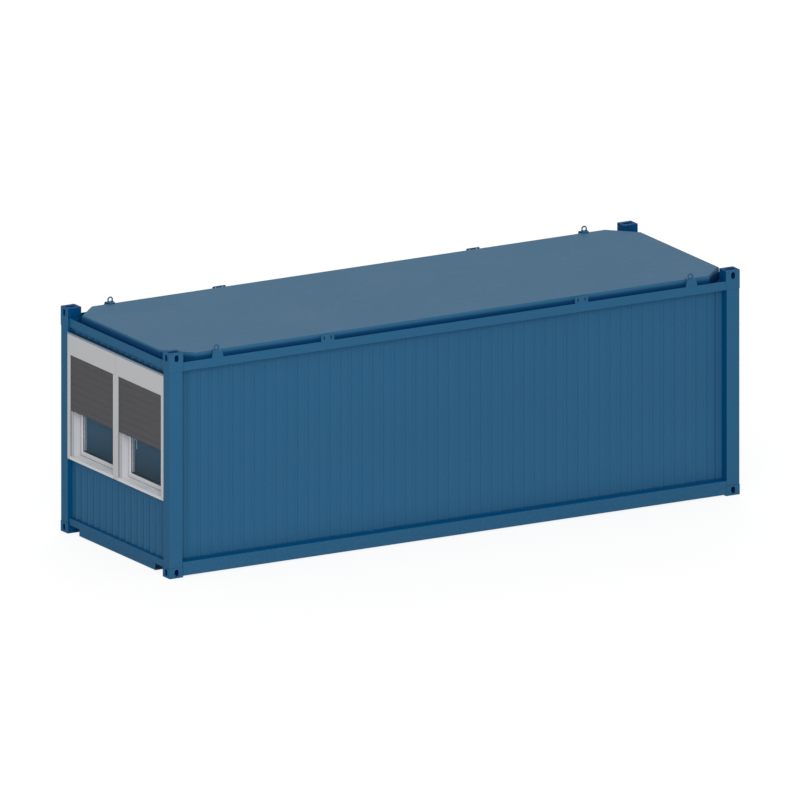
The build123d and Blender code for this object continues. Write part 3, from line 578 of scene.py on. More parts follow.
@dataclass(frozen=True)
class RoofSheet(Finish):
    """Coil coated roof sheet: faint water marks on top, painted shade down in the gutter."""

    dust: Colour = srgb(128, 146, 158)
    # Painted shade colour for the gutter.
    gutter_shade: Colour = srgb(2, 54, 100)
    gutter_low: float = 2.490
    gutter_high: float = 2.544
    end_low: float = 2.519
    end_high: float = 2.552
    end_skirt: float = 3.565
    specular: float = 0.03

    def make(self) -> bpy.types.Material:
        """Build the material.

        Returns:
            The finished material.
        """
        sheet = ShaderSheet(self.name)
        cloud = sheet.noise(0.8, 4.0, 0.55)
        speck = sheet.noise(38.0, 6.0, 0.7)
        pool = sheet.noise(2.6, 3.0, 0.5)
        rim = sheet.band(abs(pool - 0.56), 0.022, 0.0)
        flat = sheet.band(sheet.upward(), 0.9, 0.995)
        paint = sheet.mix(cloud, toned(self.tint, 0.95), toned(self.tint, 1.05))
        paint = sheet.mix(flat * sheet.band(speck, 0.35, 0.8) * 0.06, paint, self.dust)
        paint = sheet.mix(flat * rim * 0.03, paint, self.dust)
        x, _, z = sheet.axes()
        # Painted shade down in the gutter, fading out upward; the ends use their own heights.
        deep = sheet.band(z, self.gutter_high, self.gutter_low)
        deep_end = sheet.band(z, self.end_high, self.end_low)
        deep = deep + (deep_end - deep) * (abs(x) > self.end_skirt)
        paint = sheet.mix(deep * (0.85 + 0.14 * speck), paint, self.gutter_shade)
        return sheet.shade(
            Base_Color=paint,
            Roughness=0.46 + 0.10 * speck + 0.08 * cloud,
            Specular_IOR_Level=self.specular,
            Normal=sheet.bump(sheet.noise(3.0, 2.0), 0.0022),
        )


@dataclass(frozen=True)
class Galvanised(Finish):
    """Dull zinc with a faint spangle."""

    def make(self) -> bpy.types.Material:
        """Build the material.

        Returns:
            The finished material.
        """
        sheet = ShaderSheet(self.name)
        spangle = sheet.node("ShaderNodeRGBToBW", None, {0: sheet.cells(70.0, "Color")})
        stain = sheet.noise(3.0, 5.0, 0.6)
        zinc = sheet.mix(spangle, toned(self.tint, 0.80), toned(self.tint, 1.10))
        zinc = sheet.mix(sheet.band(stain, 0.45, 0.8) * 0.35, zinc, toned(self.tint, 1.35))
        return sheet.shade(
            Base_Color=zinc,
            Metallic=0.75,
            Roughness=0.42 + 0.16 * spangle,
            Normal=sheet.bump(stain, 0.0004),
        )


@dataclass(frozen=True)
class FloorVinyl(Finish):
    """Speckled sheet vinyl."""

    def make(self) -> bpy.types.Material:
        """Build the material.

        Returns:
            The finished material.
        """
        sheet = ShaderSheet(self.name)
        fleck = sheet.cells(160.0)
        pale = sheet.band(fleck, 0.20, 0.12)
        dark = sheet.band(sheet.cells(110.0), 0.16, 0.10)
        worn = sheet.noise(1.4, 4.0, 0.6)
        vinyl = sheet.mix(worn, toned(self.tint, 0.92), toned(self.tint, 1.06))
        vinyl = sheet.mix(pale * 0.6, vinyl, toned(self.tint, 1.9))
        vinyl = sheet.mix(dark * 0.6, vinyl, toned(self.tint, 0.35))
        return sheet.shade(
            Base_Color=vinyl,
            Roughness=0.45 + 0.15 * worn,
            Specular_IOR_Level=0.4,
            Normal=sheet.bump(sheet.noise(300.0), 0.0001),
        )


@dataclass(frozen=True)
class CeilingLining(Finish):
    """Matt lining boards with covered joints."""

    board: float = 1.20

    def make(self) -> bpy.types.Material:
        """Build the material.

        Returns:
            The finished material.
        """
        sheet = ShaderSheet(self.name)
        x = sheet.axes()[0]
        stipple = sheet.noise(90.0, 3.0)
        joint = sheet.band(abs(x % self.board - self.board / 2), 0.004, 0.001)
        lined = sheet.mix(stipple, toned(self.tint, 0.95), self.tint)
        lined = sheet.mix(joint * 0.35, lined, toned(self.tint, 0.5))
        return sheet.shade(
            Base_Color=lined,
            Roughness=0.72 + 0.1 * stipple,
            Specular_IOR_Level=0.25,
            Normal=sheet.bump(stipple, 0.0002, sheet.bump(1.0 - joint, 0.001)),
        )


@dataclass(frozen=True)
class WindowPlastic(Finish):
    """White moulded window sections: fine grain, faint weathering, a seam at mid width; dust on
    ledges, and painted shade on the shutter box's top face and upper rim.
    """

    # Colour of upward faces: grey dust by default, a near white painted highlight in the lightened
    # copy.
    ledge_dust_and_highlight: Colour = srgb(120, 118, 112)
    ledge_share: float = 0.12
    top: float = 2.31
    # Painted shade: a dark colour for the shutter box's top face, and a grey one for its upper rim.
    shade_colour: Colour = srgb(4, 56, 92)
    rim: Colour = srgb(118, 133, 145)
    rim_bottom: float = 2.3035
    seam: float = 0.0011
    seam_bottom: float = 2.073
    specular: float = 0.12

    def make(self) -> bpy.types.Material:
        """Build the material.

        Returns:
            The finished material.
        """
        sheet = ShaderSheet(self.name)
        _, y, z = sheet.axes()
        weather = sheet.noise(2.2, 5.0, 0.6, (1.0, 1.0, 0.5))
        draw = sheet.noise(240.0, 2.0, 0.5, (1.0, 1.0, 0.02))
        white = sheet.mix(weather, toned(self.tint, 0.965), toned(self.tint, 1.02))
        white = sheet.mix(sheet.band(weather, 0.55, 0.85) * 0.14, white, toned(self.tint, 0.72))
        flat = sheet.band(sheet.upward(), 0.5, 0.95)
        # Upward faces take the ledge colour: dust here, a painted highlight in the lightened copy.
        ledge_dust_and_highlight = flat * (0.6 + 0.4 * sheet.band(weather, 0.3, 0.7))
        white = sheet.mix(ledge_dust_and_highlight * self.ledge_share, white, self.ledge_dust_and_highlight)
        # Painted shade on the upper rim and top face of the shutter box.
        white = sheet.mix(z > self.rim_bottom, white, self.rim)
        white = sheet.mix(flat * (z > self.top) * 0.92, white, self.shade_colour)
        seam = sheet.band(abs(y), self.seam * 2.0, self.seam) * (z > self.seam_bottom)
        white = sheet.mix(seam * 0.55, white, toned(self.tint, 0.30))
        normal = sheet.bump(draw, 0.00004, sheet.bump(1.0 - seam, 0.0015))
        return sheet.shade(
            Base_Color=white,
            Roughness=0.34 + 0.14 * weather,
            Specular_IOR_Level=self.specular,
            Normal=normal,
        )


@dataclass(frozen=True)
class Glazing(Finish):
    """Cool tinted glass with a painted reflection, bluer high and greyer low down, with a thin film
    of dust; the room shows through.
    """

    # Painted reflection: the glass colour low down, blending to the tint higher up.
    shade: Colour = srgb(86, 110, 126)
    dust: Colour = srgb(150, 158, 164)
    cover: float = 0.10
    low: float = 0.92
    high: float = 1.45
    specular: float = 0.02

    def make(self) -> bpy.types.Material:
        """Build the material.

        Returns:
            The finished material.
        """
        sheet = ShaderSheet(self.name)
        z = sheet.axes()[2]
        film = sheet.noise(6.0, 6.0, 0.65)
        # Painted reflection, greyer low down and bluer higher up.
        rise = sheet.band(z, self.low, self.high)
        tint = sheet.mix(rise, self.shade, self.tint)
        tint = sheet.mix(sheet.band(film, 0.6, 0.8) * 0.10, tint, self.dust)
        return sheet.shade(
            Base_Color=tint,
            Roughness=0.04 + 0.05 * film,
            Alpha=self.cover + 0.04 * film,
            Specular_IOR_Level=self.specular,
        )


@dataclass(frozen=True)
class ShutterSlat(Finish):
    """Dark grey slats with a faint foil grain and chalky weathering."""

    def make(self) -> bpy.types.Material:
        """Build the material.

        Returns:
            The finished material.
        """
        sheet = ShaderSheet(self.name)
        foil = sheet.noise(60.0, 5.0, 0.6, (1.0, 0.08, 1.0))
        chalk = sheet.noise(3.2, 5.0, 0.6)
        grey = sheet.mix(foil, toned(self.tint, 0.90), toned(self.tint, 1.10))
        grey = sheet.mix(sheet.band(chalk, 0.45, 0.8) * 0.12, grey, toned(self.tint, 1.7))
        return sheet.shade(
            Base_Color=grey,
            Roughness=0.56 + 0.14 * chalk,
            Specular_IOR_Level=0.10,
            Normal=sheet.bump(foil, 0.00012),
        )


@dataclass(frozen=True)
class SatinMetal(Finish):
    """Brushed or drawn metal for handles, hinges and the threshold."""

    roughness: float = 0.30
    metallic: float = 0.85
    brush: Point = (1.0, 1.0, 0.05)

    def make(self) -> bpy.types.Material:
        """Build the material.

        Returns:
            The finished material.
        """
        sheet = ShaderSheet(self.name)
        lines = sheet.noise(420.0, 3.0, 0.6, self.brush)
        touch = sheet.noise(24.0, 4.0, 0.6)
        metal = sheet.mix(lines, toned(self.tint, 0.88), toned(self.tint, 1.06))
        metal = sheet.mix(sheet.band(touch, 0.5, 0.8) * 0.18, metal, toned(self.tint, 0.7))
        return sheet.shade(
            Base_Color=metal,
            Metallic=self.metallic,
            Roughness=self.roughness + 0.10 * lines + 0.08 * touch,
            Normal=sheet.bump(lines, 0.00003),
        )


@dataclass(frozen=True)
class Rubber(Finish):
    """Extruded sealing rubber, chalky with age."""

    def make(self) -> bpy.types.Material:
        """Build the material.

        Returns:
            The finished material.
        """
        sheet = ShaderSheet(self.name)
        bloom = sheet.noise(40.0, 5.0, 0.65)
        black = sheet.mix(sheet.band(bloom, 0.4, 0.8) * 0.5, self.tint, toned(self.tint, 2.2))
        return sheet.shade(
            Base_Color=black,
            Roughness=0.62 + 0.2 * bloom,
            Specular_IOR_Level=0.25,
            Normal=sheet.bump(bloom, 0.0002),
        )


class Palette:
    """Every material of the cabin, each made once."""

    BLUE = srgb(43, 92, 126)

    def __init__(self) -> None:
        """Make the materials."""
        # The frame gets a painted shade colour on its inward faces.
        self.frame = SteelPaint("FramePaint", self.BLUE, inner_shade=srgb(2, 76, 120)).make()
        self.fitting = SteelPaint("FittingPaint", self.BLUE).make()
        # Weld beads are painted darker than the frame, a painted shade along the seams.
        self.weld = SteelPaint("ShadedWeldPaint", toned(self.BLUE, 0.8)).make()
        self.door = SteelPaint("DoorPaint", self.BLUE, peel=0.00006).make()
        self.cast = CastPaint("CastingPaint", self.BLUE).make()
        self.wall = WallSheet("WallSheet", self.BLUE).make()
        # The strip over the window is a lighter copy of the wall sheet, painted light against the
        # shade under the roof rail.
        self.wall_head_lightened = WallSheet("WallHeadLightened", toned(self.BLUE, 1.35)).make()
        self.roof = RoofSheet("RoofSheet", srgb(46, 97, 129)).make()
        self.zinc = Galvanised("Zinc", srgb(172, 175, 176)).make()
        self.vinyl = FloorVinyl("FloorVinyl", srgb(112, 114, 117)).make()
        self.lining = CeilingLining("CeilingLining", srgb(228, 227, 222)).make()
        self.plastic = WindowPlastic("WindowPlastic", srgb(184, 185, 187)).make()
        # The frames, sashes and sill are a lighter copy of the white, painted light against the
        # shade in the recess, with a painted highlight on their ledges.
        self.sash = WindowPlastic(
            "LightenedWindowSections", srgb(202, 204, 207), ledge_dust_and_highlight=srgb(240, 243, 246), ledge_share=1.0
        ).make()
        self.glass = Glazing("Glass", srgb(108, 150, 182)).make()
        self.slat = ShutterSlat("ShutterSlats", srgb(78, 78, 80)).make()
        self.metal = SatinMetal("SatinMetal", srgb(205, 207, 209)).make()
        self.white_metal = SatinMetal(
            "WhiteHandle", srgb(243, 244, 245), roughness=0.38, metallic=0.0
        ).make()
        self.tread = SatinMetal("Threshold", srgb(178, 180, 181), brush=(0.05, 1.0, 1.0)).make()
        self.rubber = Rubber("Rubber", srgb(33, 34, 36)).make()
        self.grey_seal = Rubber("GreySeal", srgb(118, 119, 121)).make()
        self.spacer = Rubber("PaneSpacer", srgb(196, 198, 200)).make()


# --------------------------------------------------------------------- forms


def section(width: float, height: float, radius: float, steps: int = 5) -> Outline:
    """Outline of a rounded rectangle around zero, always with 4 * (steps + 1) points.

    Args:
        width: Full width.
        height: Full height.
        radius: Corner radius, at most half of the shorter side.
        steps: Divisions of each corner.

    Returns:
        The outline's points, anticlockwise.
    """
    corner = min(radius, width / 2, height / 2)
    points: Outline = []
    for quarter, (side, rise) in enumerate(((1, 1), (-1, 1), (-1, -1), (1, -1))):
        centre_u = side * (width / 2 - corner)
        centre_v = rise * (height / 2 - corner)
        for step in range(steps + 1):
            angle = (quarter + step / steps) * math.pi / 2
            across, up = corner * math.cos(angle), corner * math.sin(angle)
            points.append((centre_u + across, centre_v + up))
    return points


class Form:
    """Gathers the faces of one piece before it becomes an object."""

    def __init__(self) -> None:
        """Start without faces."""
        self.mesh = bmesh.new()

    def loft(self, rings: Sequence[Ring], closed: bool = False) -> None:
        """Join rings of equal length with quads, and cap the ends unless it is closed.

        Args:
            rings: The rings, in order.
            closed: Whether the last ring joins the first.
        """
        rows = [[self.mesh.verts.new(point) for point in ring] for ring in rings]
        pairs = list(zip(rows, rows[1:]))
        if closed:
            pairs.append((rows[-1], rows[0]))
        else:
            self.mesh.faces.new(rows[0][::-1])
            self.mesh.faces.new(rows[-1])
        for first, second in pairs:
            for here in range(len(first)):
                there = (here + 1) % len(first)
                self.mesh.faces.new((first[here], first[there], second[there], second[here]))

    def slab(
        self, centre: Vector, along: Vector, across: Vector, size: Point, radius: float, edge: float
    ) -> None:
        """Add a rounded plate with softened rims.

        Args:
            centre: Middle of its underside.
            along: Direction of its thickness.
            across: Direction of its width.
            size: Width, height and thickness.
            radius: Corner radius seen from the front.
            edge: Width of the softened rim.
        """
        up = along.cross(across)
        stations = ((0.0, edge * 0.4), (edge * 0.4, 0.0), (size[2] - edge, 0.0))
        stations += ((size[2] - edge * 0.3, edge * 0.3), (size[2], edge))
        rings = []
        for depth, inset in stations:
            outline = section(size[0] - 2 * inset, size[1] - 2 * inset, max(radius - inset, 0.0002))
            origin = centre + along * depth
            rings.append([origin + across * u + up * v for u, v in outline])
        self.loft(rings)

    def sweep(self, stations: Iterable[Tuple[Vector, Vector, Vector, Outline]]) -> None:
        """Loft outlines that stand on given places.

        Args:
            stations: Place, direction of the outline's first axis, of its second, and outline.
        """
        self.loft([[o + a * u + b * v for u, v in shape] for o, a, b, shape in stations])

    def surround(self, centre: Vector, half: Tuple[float, float], profile: Outline) -> None:
        """Add a mitred frame that stands in a plane across X.

        Args:
            centre: Middle of the frame.
            half: Half of the width and of the height of the line that the profile follows.
            profile: Points of the section: distance outside that line, and place along X.
        """
        rings = []
        for side, rise in ((-1, -1), (1, -1), (1, 1), (-1, 1)):
            corner = centre + Vector((0.0, side * half[0], rise * half[1]))
            rings.append([corner + Vector((x, side * out, rise * out)) for out, x in profile])
        self.loft(rings, closed=True)

    def piece(
        self, name: str, material: bpy.types.Material, slot: str, replaces: Sequence[str] = ()
    ) -> bpy.types.Object:
        """Turn the faces into a finished object.

        Args:
            name: The piece's name.
            material: Its material.
            slot: Name of a material slot; not used.
            replaces: CAD nodes that it stands for.

        Returns:
            The object.
        """
        bmesh.ops.remove_doubles(self.mesh, verts=self.mesh.verts, dist=1e-6)
        bmesh.ops.recalc_face_normals(self.mesh, faces=self.mesh.faces)
        mesh = bpy.data.meshes.new(name)
        self.mesh.to_mesh(mesh)
        self.mesh.free()
        mesh.materials.append(material)
        return place(name, mesh, replaces)


def place(
    name: str,
    mesh: bpy.types.Mesh,
    replaces: Sequence[str] = (),
    crease: float = 38.0,
) -> bpy.types.Object:
    """Make a mesh a piece of the cabin.

    Args:
        name: The piece's name.
        mesh: Its mesh, already in place.
        replaces: CAD nodes that it stands for.
        crease: Angle in degrees past which an edge stays sharp.

    Returns:
        The object.
    """
    mesh.name = name
    mesh.shade_smooth()
    mesh.set_sharp_from_angle(angle=math.radians(crease))
    piece = bpy.data.objects.new(name, mesh)
    bpy.context.scene.collection.objects.link(piece)
    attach(piece, BODY)
    if replaces:
        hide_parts(*replaces)
    LOG.info("%s: %d faces", name, len(mesh.polygons))
    return piece


def dress(material: bpy.types.Material, *nodes: str) -> None:
    """Give CAD nodes a better material.

    Args:
        material: The material.
        *nodes: The nodes' names.
    """
    for node in nodes:
        for index in range(len(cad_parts[node].material_slots)):
            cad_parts[node].material_slots[index].material = material
        LOG.info("%s: %s", node, material.name)


class Mark(Enum):
    """What is set along a line."""

    WELD = "weld"
    RIVET = "rivet"


@dataclass
class Trail:
    """Small marks along straight lines: the ripples of a weld, or a row of rivets."""

    name: str
    mark: Mark
    spacing: float
    radius: float
    facing: Point = (0.0, 0.0, 1.0)
    seed: int = 7

    def __post_init__(self) -> None:
        """Start with no lines."""
        self.points: List[Vector] = []

    def line(self, first: Point, last: Point) -> None:
        """Add one line.

        Args:
            first: Where it starts.
            last: Where it ends.
        """
        self.points += [Vector(first), Vector(last)]

    def lay(self, material: bpy.types.Material) -> bpy.types.Object:
        """Set the marks along all lines.

        Args:
            material: Their material.

        Returns:
            The finished piece.
        """
        guide = bpy.data.meshes.new(self.name)
        pairs = [(index, index + 1) for index in range(0, len(self.points), 2)]
        guide.from_pydata(self.points, pairs, [])
        sizes = {"Spacing": self.spacing, "Radius": self.radius, "Facing": self.facing}
        sheet = PatternSheet(self.name, {**sizes, "Seed": self.seed})
        source = Signal(sheet, sheet.inlet.outputs[0])
        curve = sheet.node("GeometryNodeMeshToCurve", None, {0: source})
        inputs = {"Curve": curve, "Length": sheet.size("Spacing")}
        points = sheet.node("GeometryNodeCurveToPoints", {"mode": "LENGTH"}, inputs)
        turned = Signal(sheet, points.socket.node.outputs["Rotation"])
        ball = {"Segments": 8, "Rings": 5, "Radius": sheet.size("Radius")}
        bead = sheet.node("GeometryNodeMeshUVSphere", None, ball)
        if self.mark is Mark.WELD:
            spread = {"Min": (0.85, 0.85, 0.85), "Max": (1.1, 1.1, 1.2), "Seed": sheet.size("Seed")}
            scale = sheet.node("FunctionNodeRandomValue", {"data_type": "FLOAT_VECTOR"}, spread)
        else:
            inputs = {"Vector": sheet.size("Facing")}
            turned = sheet.node("FunctionNodeAlignRotationToVector", {"axis": "Z"}, inputs)
            scale = sheet.node("ShaderNodeCombineXYZ", None, {0: 1.0, 1: 1.0, 2: 0.45})
        inputs = {"Points": points, "Instance": bead, "Rotation": turned, "Scale": scale}
        marks = sheet.node("GeometryNodeInstanceOnPoints", None, inputs)
        return place(self.name, sheet.grow(marks, material, guide), crease=60.0)


# ------------------------------------------------------------- sub-assemblies


def direction(azimuth: float, elevation: float) -> Vector:
    """Way from the cabin toward a viewer.

    Args:
        azimuth: Degrees from the middle of the long side, positive toward the door end.
        elevation: Degrees above the horizon.

    Returns:
        The unit vector.
    """
    turn, rise = math.radians(azimuth), math.radians(elevation)
    level = math.cos(rise)
    return Vector((math.sin(turn) * level, -math.cos(turn) * level, math.sin(rise)))


@dataclass(frozen=True)
class SoftLamp:
    """Broad lamp that looks at the middle of the cabin."""

    name: str
    azimuth: float
    elevation: float
    power: float
    size: float = 21.0
    distance: float = 45.0

    def hang(self, aim: Vector) -> None:
        """Hang the lamp.

        Args:
            aim: The point that it looks at.
        """
        data = bpy.data.lights.new(self.name, "AREA")
        data.energy = self.power
        data.size = self.size
        lamp = bpy.data.objects.new(self.name, data)
        bpy.context.scene.collection.objects.link(lamp)
        way = direction(self.azimuth, self.elevation)
        lamp.location = aim + way * self.distance
        lamp.rotation_euler = (-way).to_track_quat("-Z", "Y").to_euler()


@dataclass
class Studio:
    """Camera, pale floor, white surroundings and two soft lamps."""

    aim: Vector = Vector((-0.001, 0.0036, 1.294))
    azimuth: float = -30.0
    elevation: float = 15.0
    distance: float = 22.0
    span: float = 8.910
    world_level: float = 0.55
    floor_size: float = 160.0
    floor_glow: float = 0.80
    floor_white: float = 1.076
    key: SoftLamp = SoftLamp("Key", -30.5, 20.0, 10050.0)
    fill: SoftLamp = SoftLamp("Fill", 150.0, 32.0, 5400.0)

    def camera(self) -> None:
        """Set the camera in the photograph's direction, without perspective."""
        data = bpy.data.cameras.new("Camera")
        data.type = "ORTHO"
        data.ortho_scale = self.span
        data.clip_end = 300.0
        back = direction(self.azimuth, self.elevation)
        right = direction(self.azimuth + 90.0, 0.0)
        camera = bpy.data.objects.new("Camera", data)
        bpy.context.scene.collection.objects.link(camera)
        pose = Matrix((right, back.cross(right), back)).transposed().to_4x4()
        pose.translation = self.aim + back * self.distance
        camera.matrix_world = pose
        bpy.context.scene.camera = camera

    @staticmethod
    def seen(sheet: NodeSheet) -> Signal:
        """Tell what is shown from what gives light.

        Args:
            sheet: The tree that gets the nodes.

        Returns:
            1 for what the camera, a reflection or a clear surface shows, else 0.
        """
        rays = sheet.node("ShaderNodeLightPath").socket.node.outputs
        names = ("Is Camera Ray", "Is Glossy Ray", "Is Transmission Ray")
        camera, glossy, clear = [Signal(sheet, rays[name]) for name in names]
        return camera + glossy + clear > 0.5

    def surroundings(self) -> None:
        """Light everything evenly from a world that shows as plain white."""
        world = bpy.data.worlds.new("Studio")
        bpy.context.scene.world = world
        world.use_nodes = True
        sheet = NodeSheet(world.node_tree)
        sheet.tree.nodes.clear()
        strength = self.world_level + (1.0 - self.world_level) * self.seen(sheet)
        inputs = {"Color": (1.0, 1.0, 1.0, 1.0), "Strength": strength}
        light = sheet.node("ShaderNodeBackground", None, inputs)
        sheet.node("ShaderNodeOutputWorld", None, {"Surface": light})

    def floor(self) -> None:
        """Lay a nearly white floor that keeps a faint shadow."""
        sheet = ShaderSheet("Floor")
        tone = sheet.mix(sheet.noise(0.4, 2.0), srgb(246, 246, 246), srgb(250, 250, 250))
        matt = sheet.node("ShaderNodeBsdfDiffuse", None, {"Color": tone})
        white = {"Color": (1.0, 1.0, 1.0, 1.0), "Strength": self.floor_white}
        glow = sheet.node("ShaderNodeEmission", None, white)
        share = self.seen(sheet) * self.floor_glow
        both = sheet.node("ShaderNodeMixShader", None, {0: share, 1: matt, 2: glow})
        sheet.node("ShaderNodeOutputMaterial", None, {"Surface": both})
        form = Form()
        half = self.floor_size / 2
        corners = [(-half, -half), (half, -half), (half, half), (-half, half)]
        form.mesh.faces.new([form.mesh.verts.new((u, v, 0.0)) for u, v in corners])
        mesh = bpy.data.meshes.new("Floor")
        form.mesh.to_mesh(mesh)
        form.mesh.free()
        mesh.materials.append(sheet.material)
        ground = bpy.data.objects.new("Floor", mesh)
        bpy.context.scene.collection.objects.link(ground)

    def build(self) -> None:
        """Set up the camera, the lights and the floor."""
        self.camera()
        self.surroundings()
        for lamp in (self.key, self.fill):
            lamp.hang(self.aim)
        self.floor()


@dataclass
class SteelFrame:
    """Castings, posts and rails, with the welds that join them."""

    palette: Palette
    face_x: float = 3.6635
    face_y: float = 1.2135
    end_face: float = 3.6395
    post_x: float = 3.4995
    post_y: float = 1.0675
    casting_x: float = 3.4890
    casting_y: float = 1.0550
    casting_top: float = 0.1184
    rail_bottom: float = 0.022
    rail_top: float = 0.170
    end_notch: float = 0.097
    roof_rail: float = 2.3746
    roof_box_top: float = 2.470
    weld_stop: float = 0.010

    def paint(self) -> None:
        """Dress the frame's nodes."""
        dress(self.palette.cast, "bottom_castings", "top_castings")
        ends = [f"post_{end}_{side}" for end in ("window", "door") for side in ("front", "back")]
        rails = [
            f"{level}_rail_{side}"
            for level in ("floor", "roof")
            for side in ("front", "back", "window_end", "door_end")
        ]
        dress(self.palette.frame, "roof_corner_boxes", *ends, *rails)

    def welds(self) -> None:
        """Run a weld along every seam between a post, a rail and a casting."""
        seams = Trail("frame_welds", Mark.WELD, spacing=0.0058, radius=0.0029)
        for end in (-1, 1):
            for side in (-1, 1):
                x, y = end * self.face_x, side * self.face_y
                post_x, post_y = end * self.post_x, side * self.post_y
                cast_x, cast_y = end * self.casting_x, side * self.casting_y
                for z in (self.casting_top, self.roof_rail):
                    seams.line((x, post_y, z), (x, y - side * self.weld_stop, z))
                    seams.line((post_x, y, z), (x - end * self.weld_stop, y, z))
                seams.line((post_x, y, self.casting_top), (post_x, y, self.rail_top))
                seams.line((cast_x, y, self.rail_bottom), (cast_x, y, self.casting_top))
                seams.line((cast_x, y, self.roof_rail), (cast_x, y, self.roof_box_top))
                face = end * self.end_face
                seams.line((face, post_y, self.casting_top), (face, post_y, self.rail_top))
                seams.line((face, cast_y, self.end_notch), (face, cast_y, self.casting_top))
                seams.line((face, cast_y, self.roof_rail), (face, cast_y, self.roof_box_top))
        seams.lay(self.palette.weld)

    def build(self) -> None:
        """Dress the frame and add its welds."""
        self.paint()
        self.welds()


@dataclass
class WallSkins:
    """Ribbed wall panels with a riveted strip at each corner."""

    palette: Palette
    strip_x: float = 3.4605
    strip_y: float = 1.0995
    rivet_low: float = 0.26
    rivet_high: float = 2.29

    def build(self) -> None:
        """Dress the panels and set the rivets."""
        dress(self.palette.wall, "wall_front", "wall_back", "wall_under_window")
        dress(self.palette.wall, "wall_over_door", "wall_door_front", "wall_door_back")
        dress(self.palette.wall_head_lightened, "wall_over_window")
        for side, word in ((-1, "front"), (1, "back")):
            rivets = Trail(
                f"strip_rivets_{word}", Mark.RIVET, 0.2899, 0.0052, facing=(0.0, float(side), 0.0)
            )
            for end in (-1, 1):
                x, y = end * self.strip_x, side * self.strip_y
                rivets.line((x, y, self.rivet_low), (x, y, self.rivet_high))
            rivets.lay(self.palette.wall)


@dataclass
class RoofDeck:
    """Roof sheet, bows and ceiling, with the lifting eyes and slotted brackets."""

    palette: Palette
    eye_x: float = 3.0475
    eye_base: float = 0.150
    bracket_x: float = 1.6325
    bracket_width: float = 0.168
    plate_y: float = 1.2115
    rail_top: float = 2.4774
    weld_inset: float = 0.006

    def build(self) -> None:
        """Dress the roof and weld the eyes and brackets to the rails."""
        dress(self.palette.roof, "roof_sheet")
        dress(self.palette.zinc, "roof_bows")
        dress(self.palette.lining, "ceiling")
        dress(self.palette.fitting, "lifting_eyes", "slotted_brackets")
        seams = Trail("roof_plate_welds", Mark.WELD, spacing=0.0052, radius=0.0026, seed=11)
        for end in (-1, 1):
            for side in (-1, 1):
                y = side * self.plate_y
                for x, width in ((self.eye_x, self.eye_base), (self.bracket_x, self.bracket_width)):
                    reach = width / 2 - self.weld_inset
                    low, high = end * x - reach, end * x + reach
                    seams.line((low, y, self.rail_top), (high, y, self.rail_top))
        seams.lay(self.palette.weld)


@dataclass
class FloorDeck:
    """Floor beams, pan and the covered board."""

    palette: Palette

    def build(self) -> None:
        """Dress the floor."""
        dress(self.palette.zinc, "floor_beams", "floor_pan")
        dress(self.palette.vinyl, "floor_board")


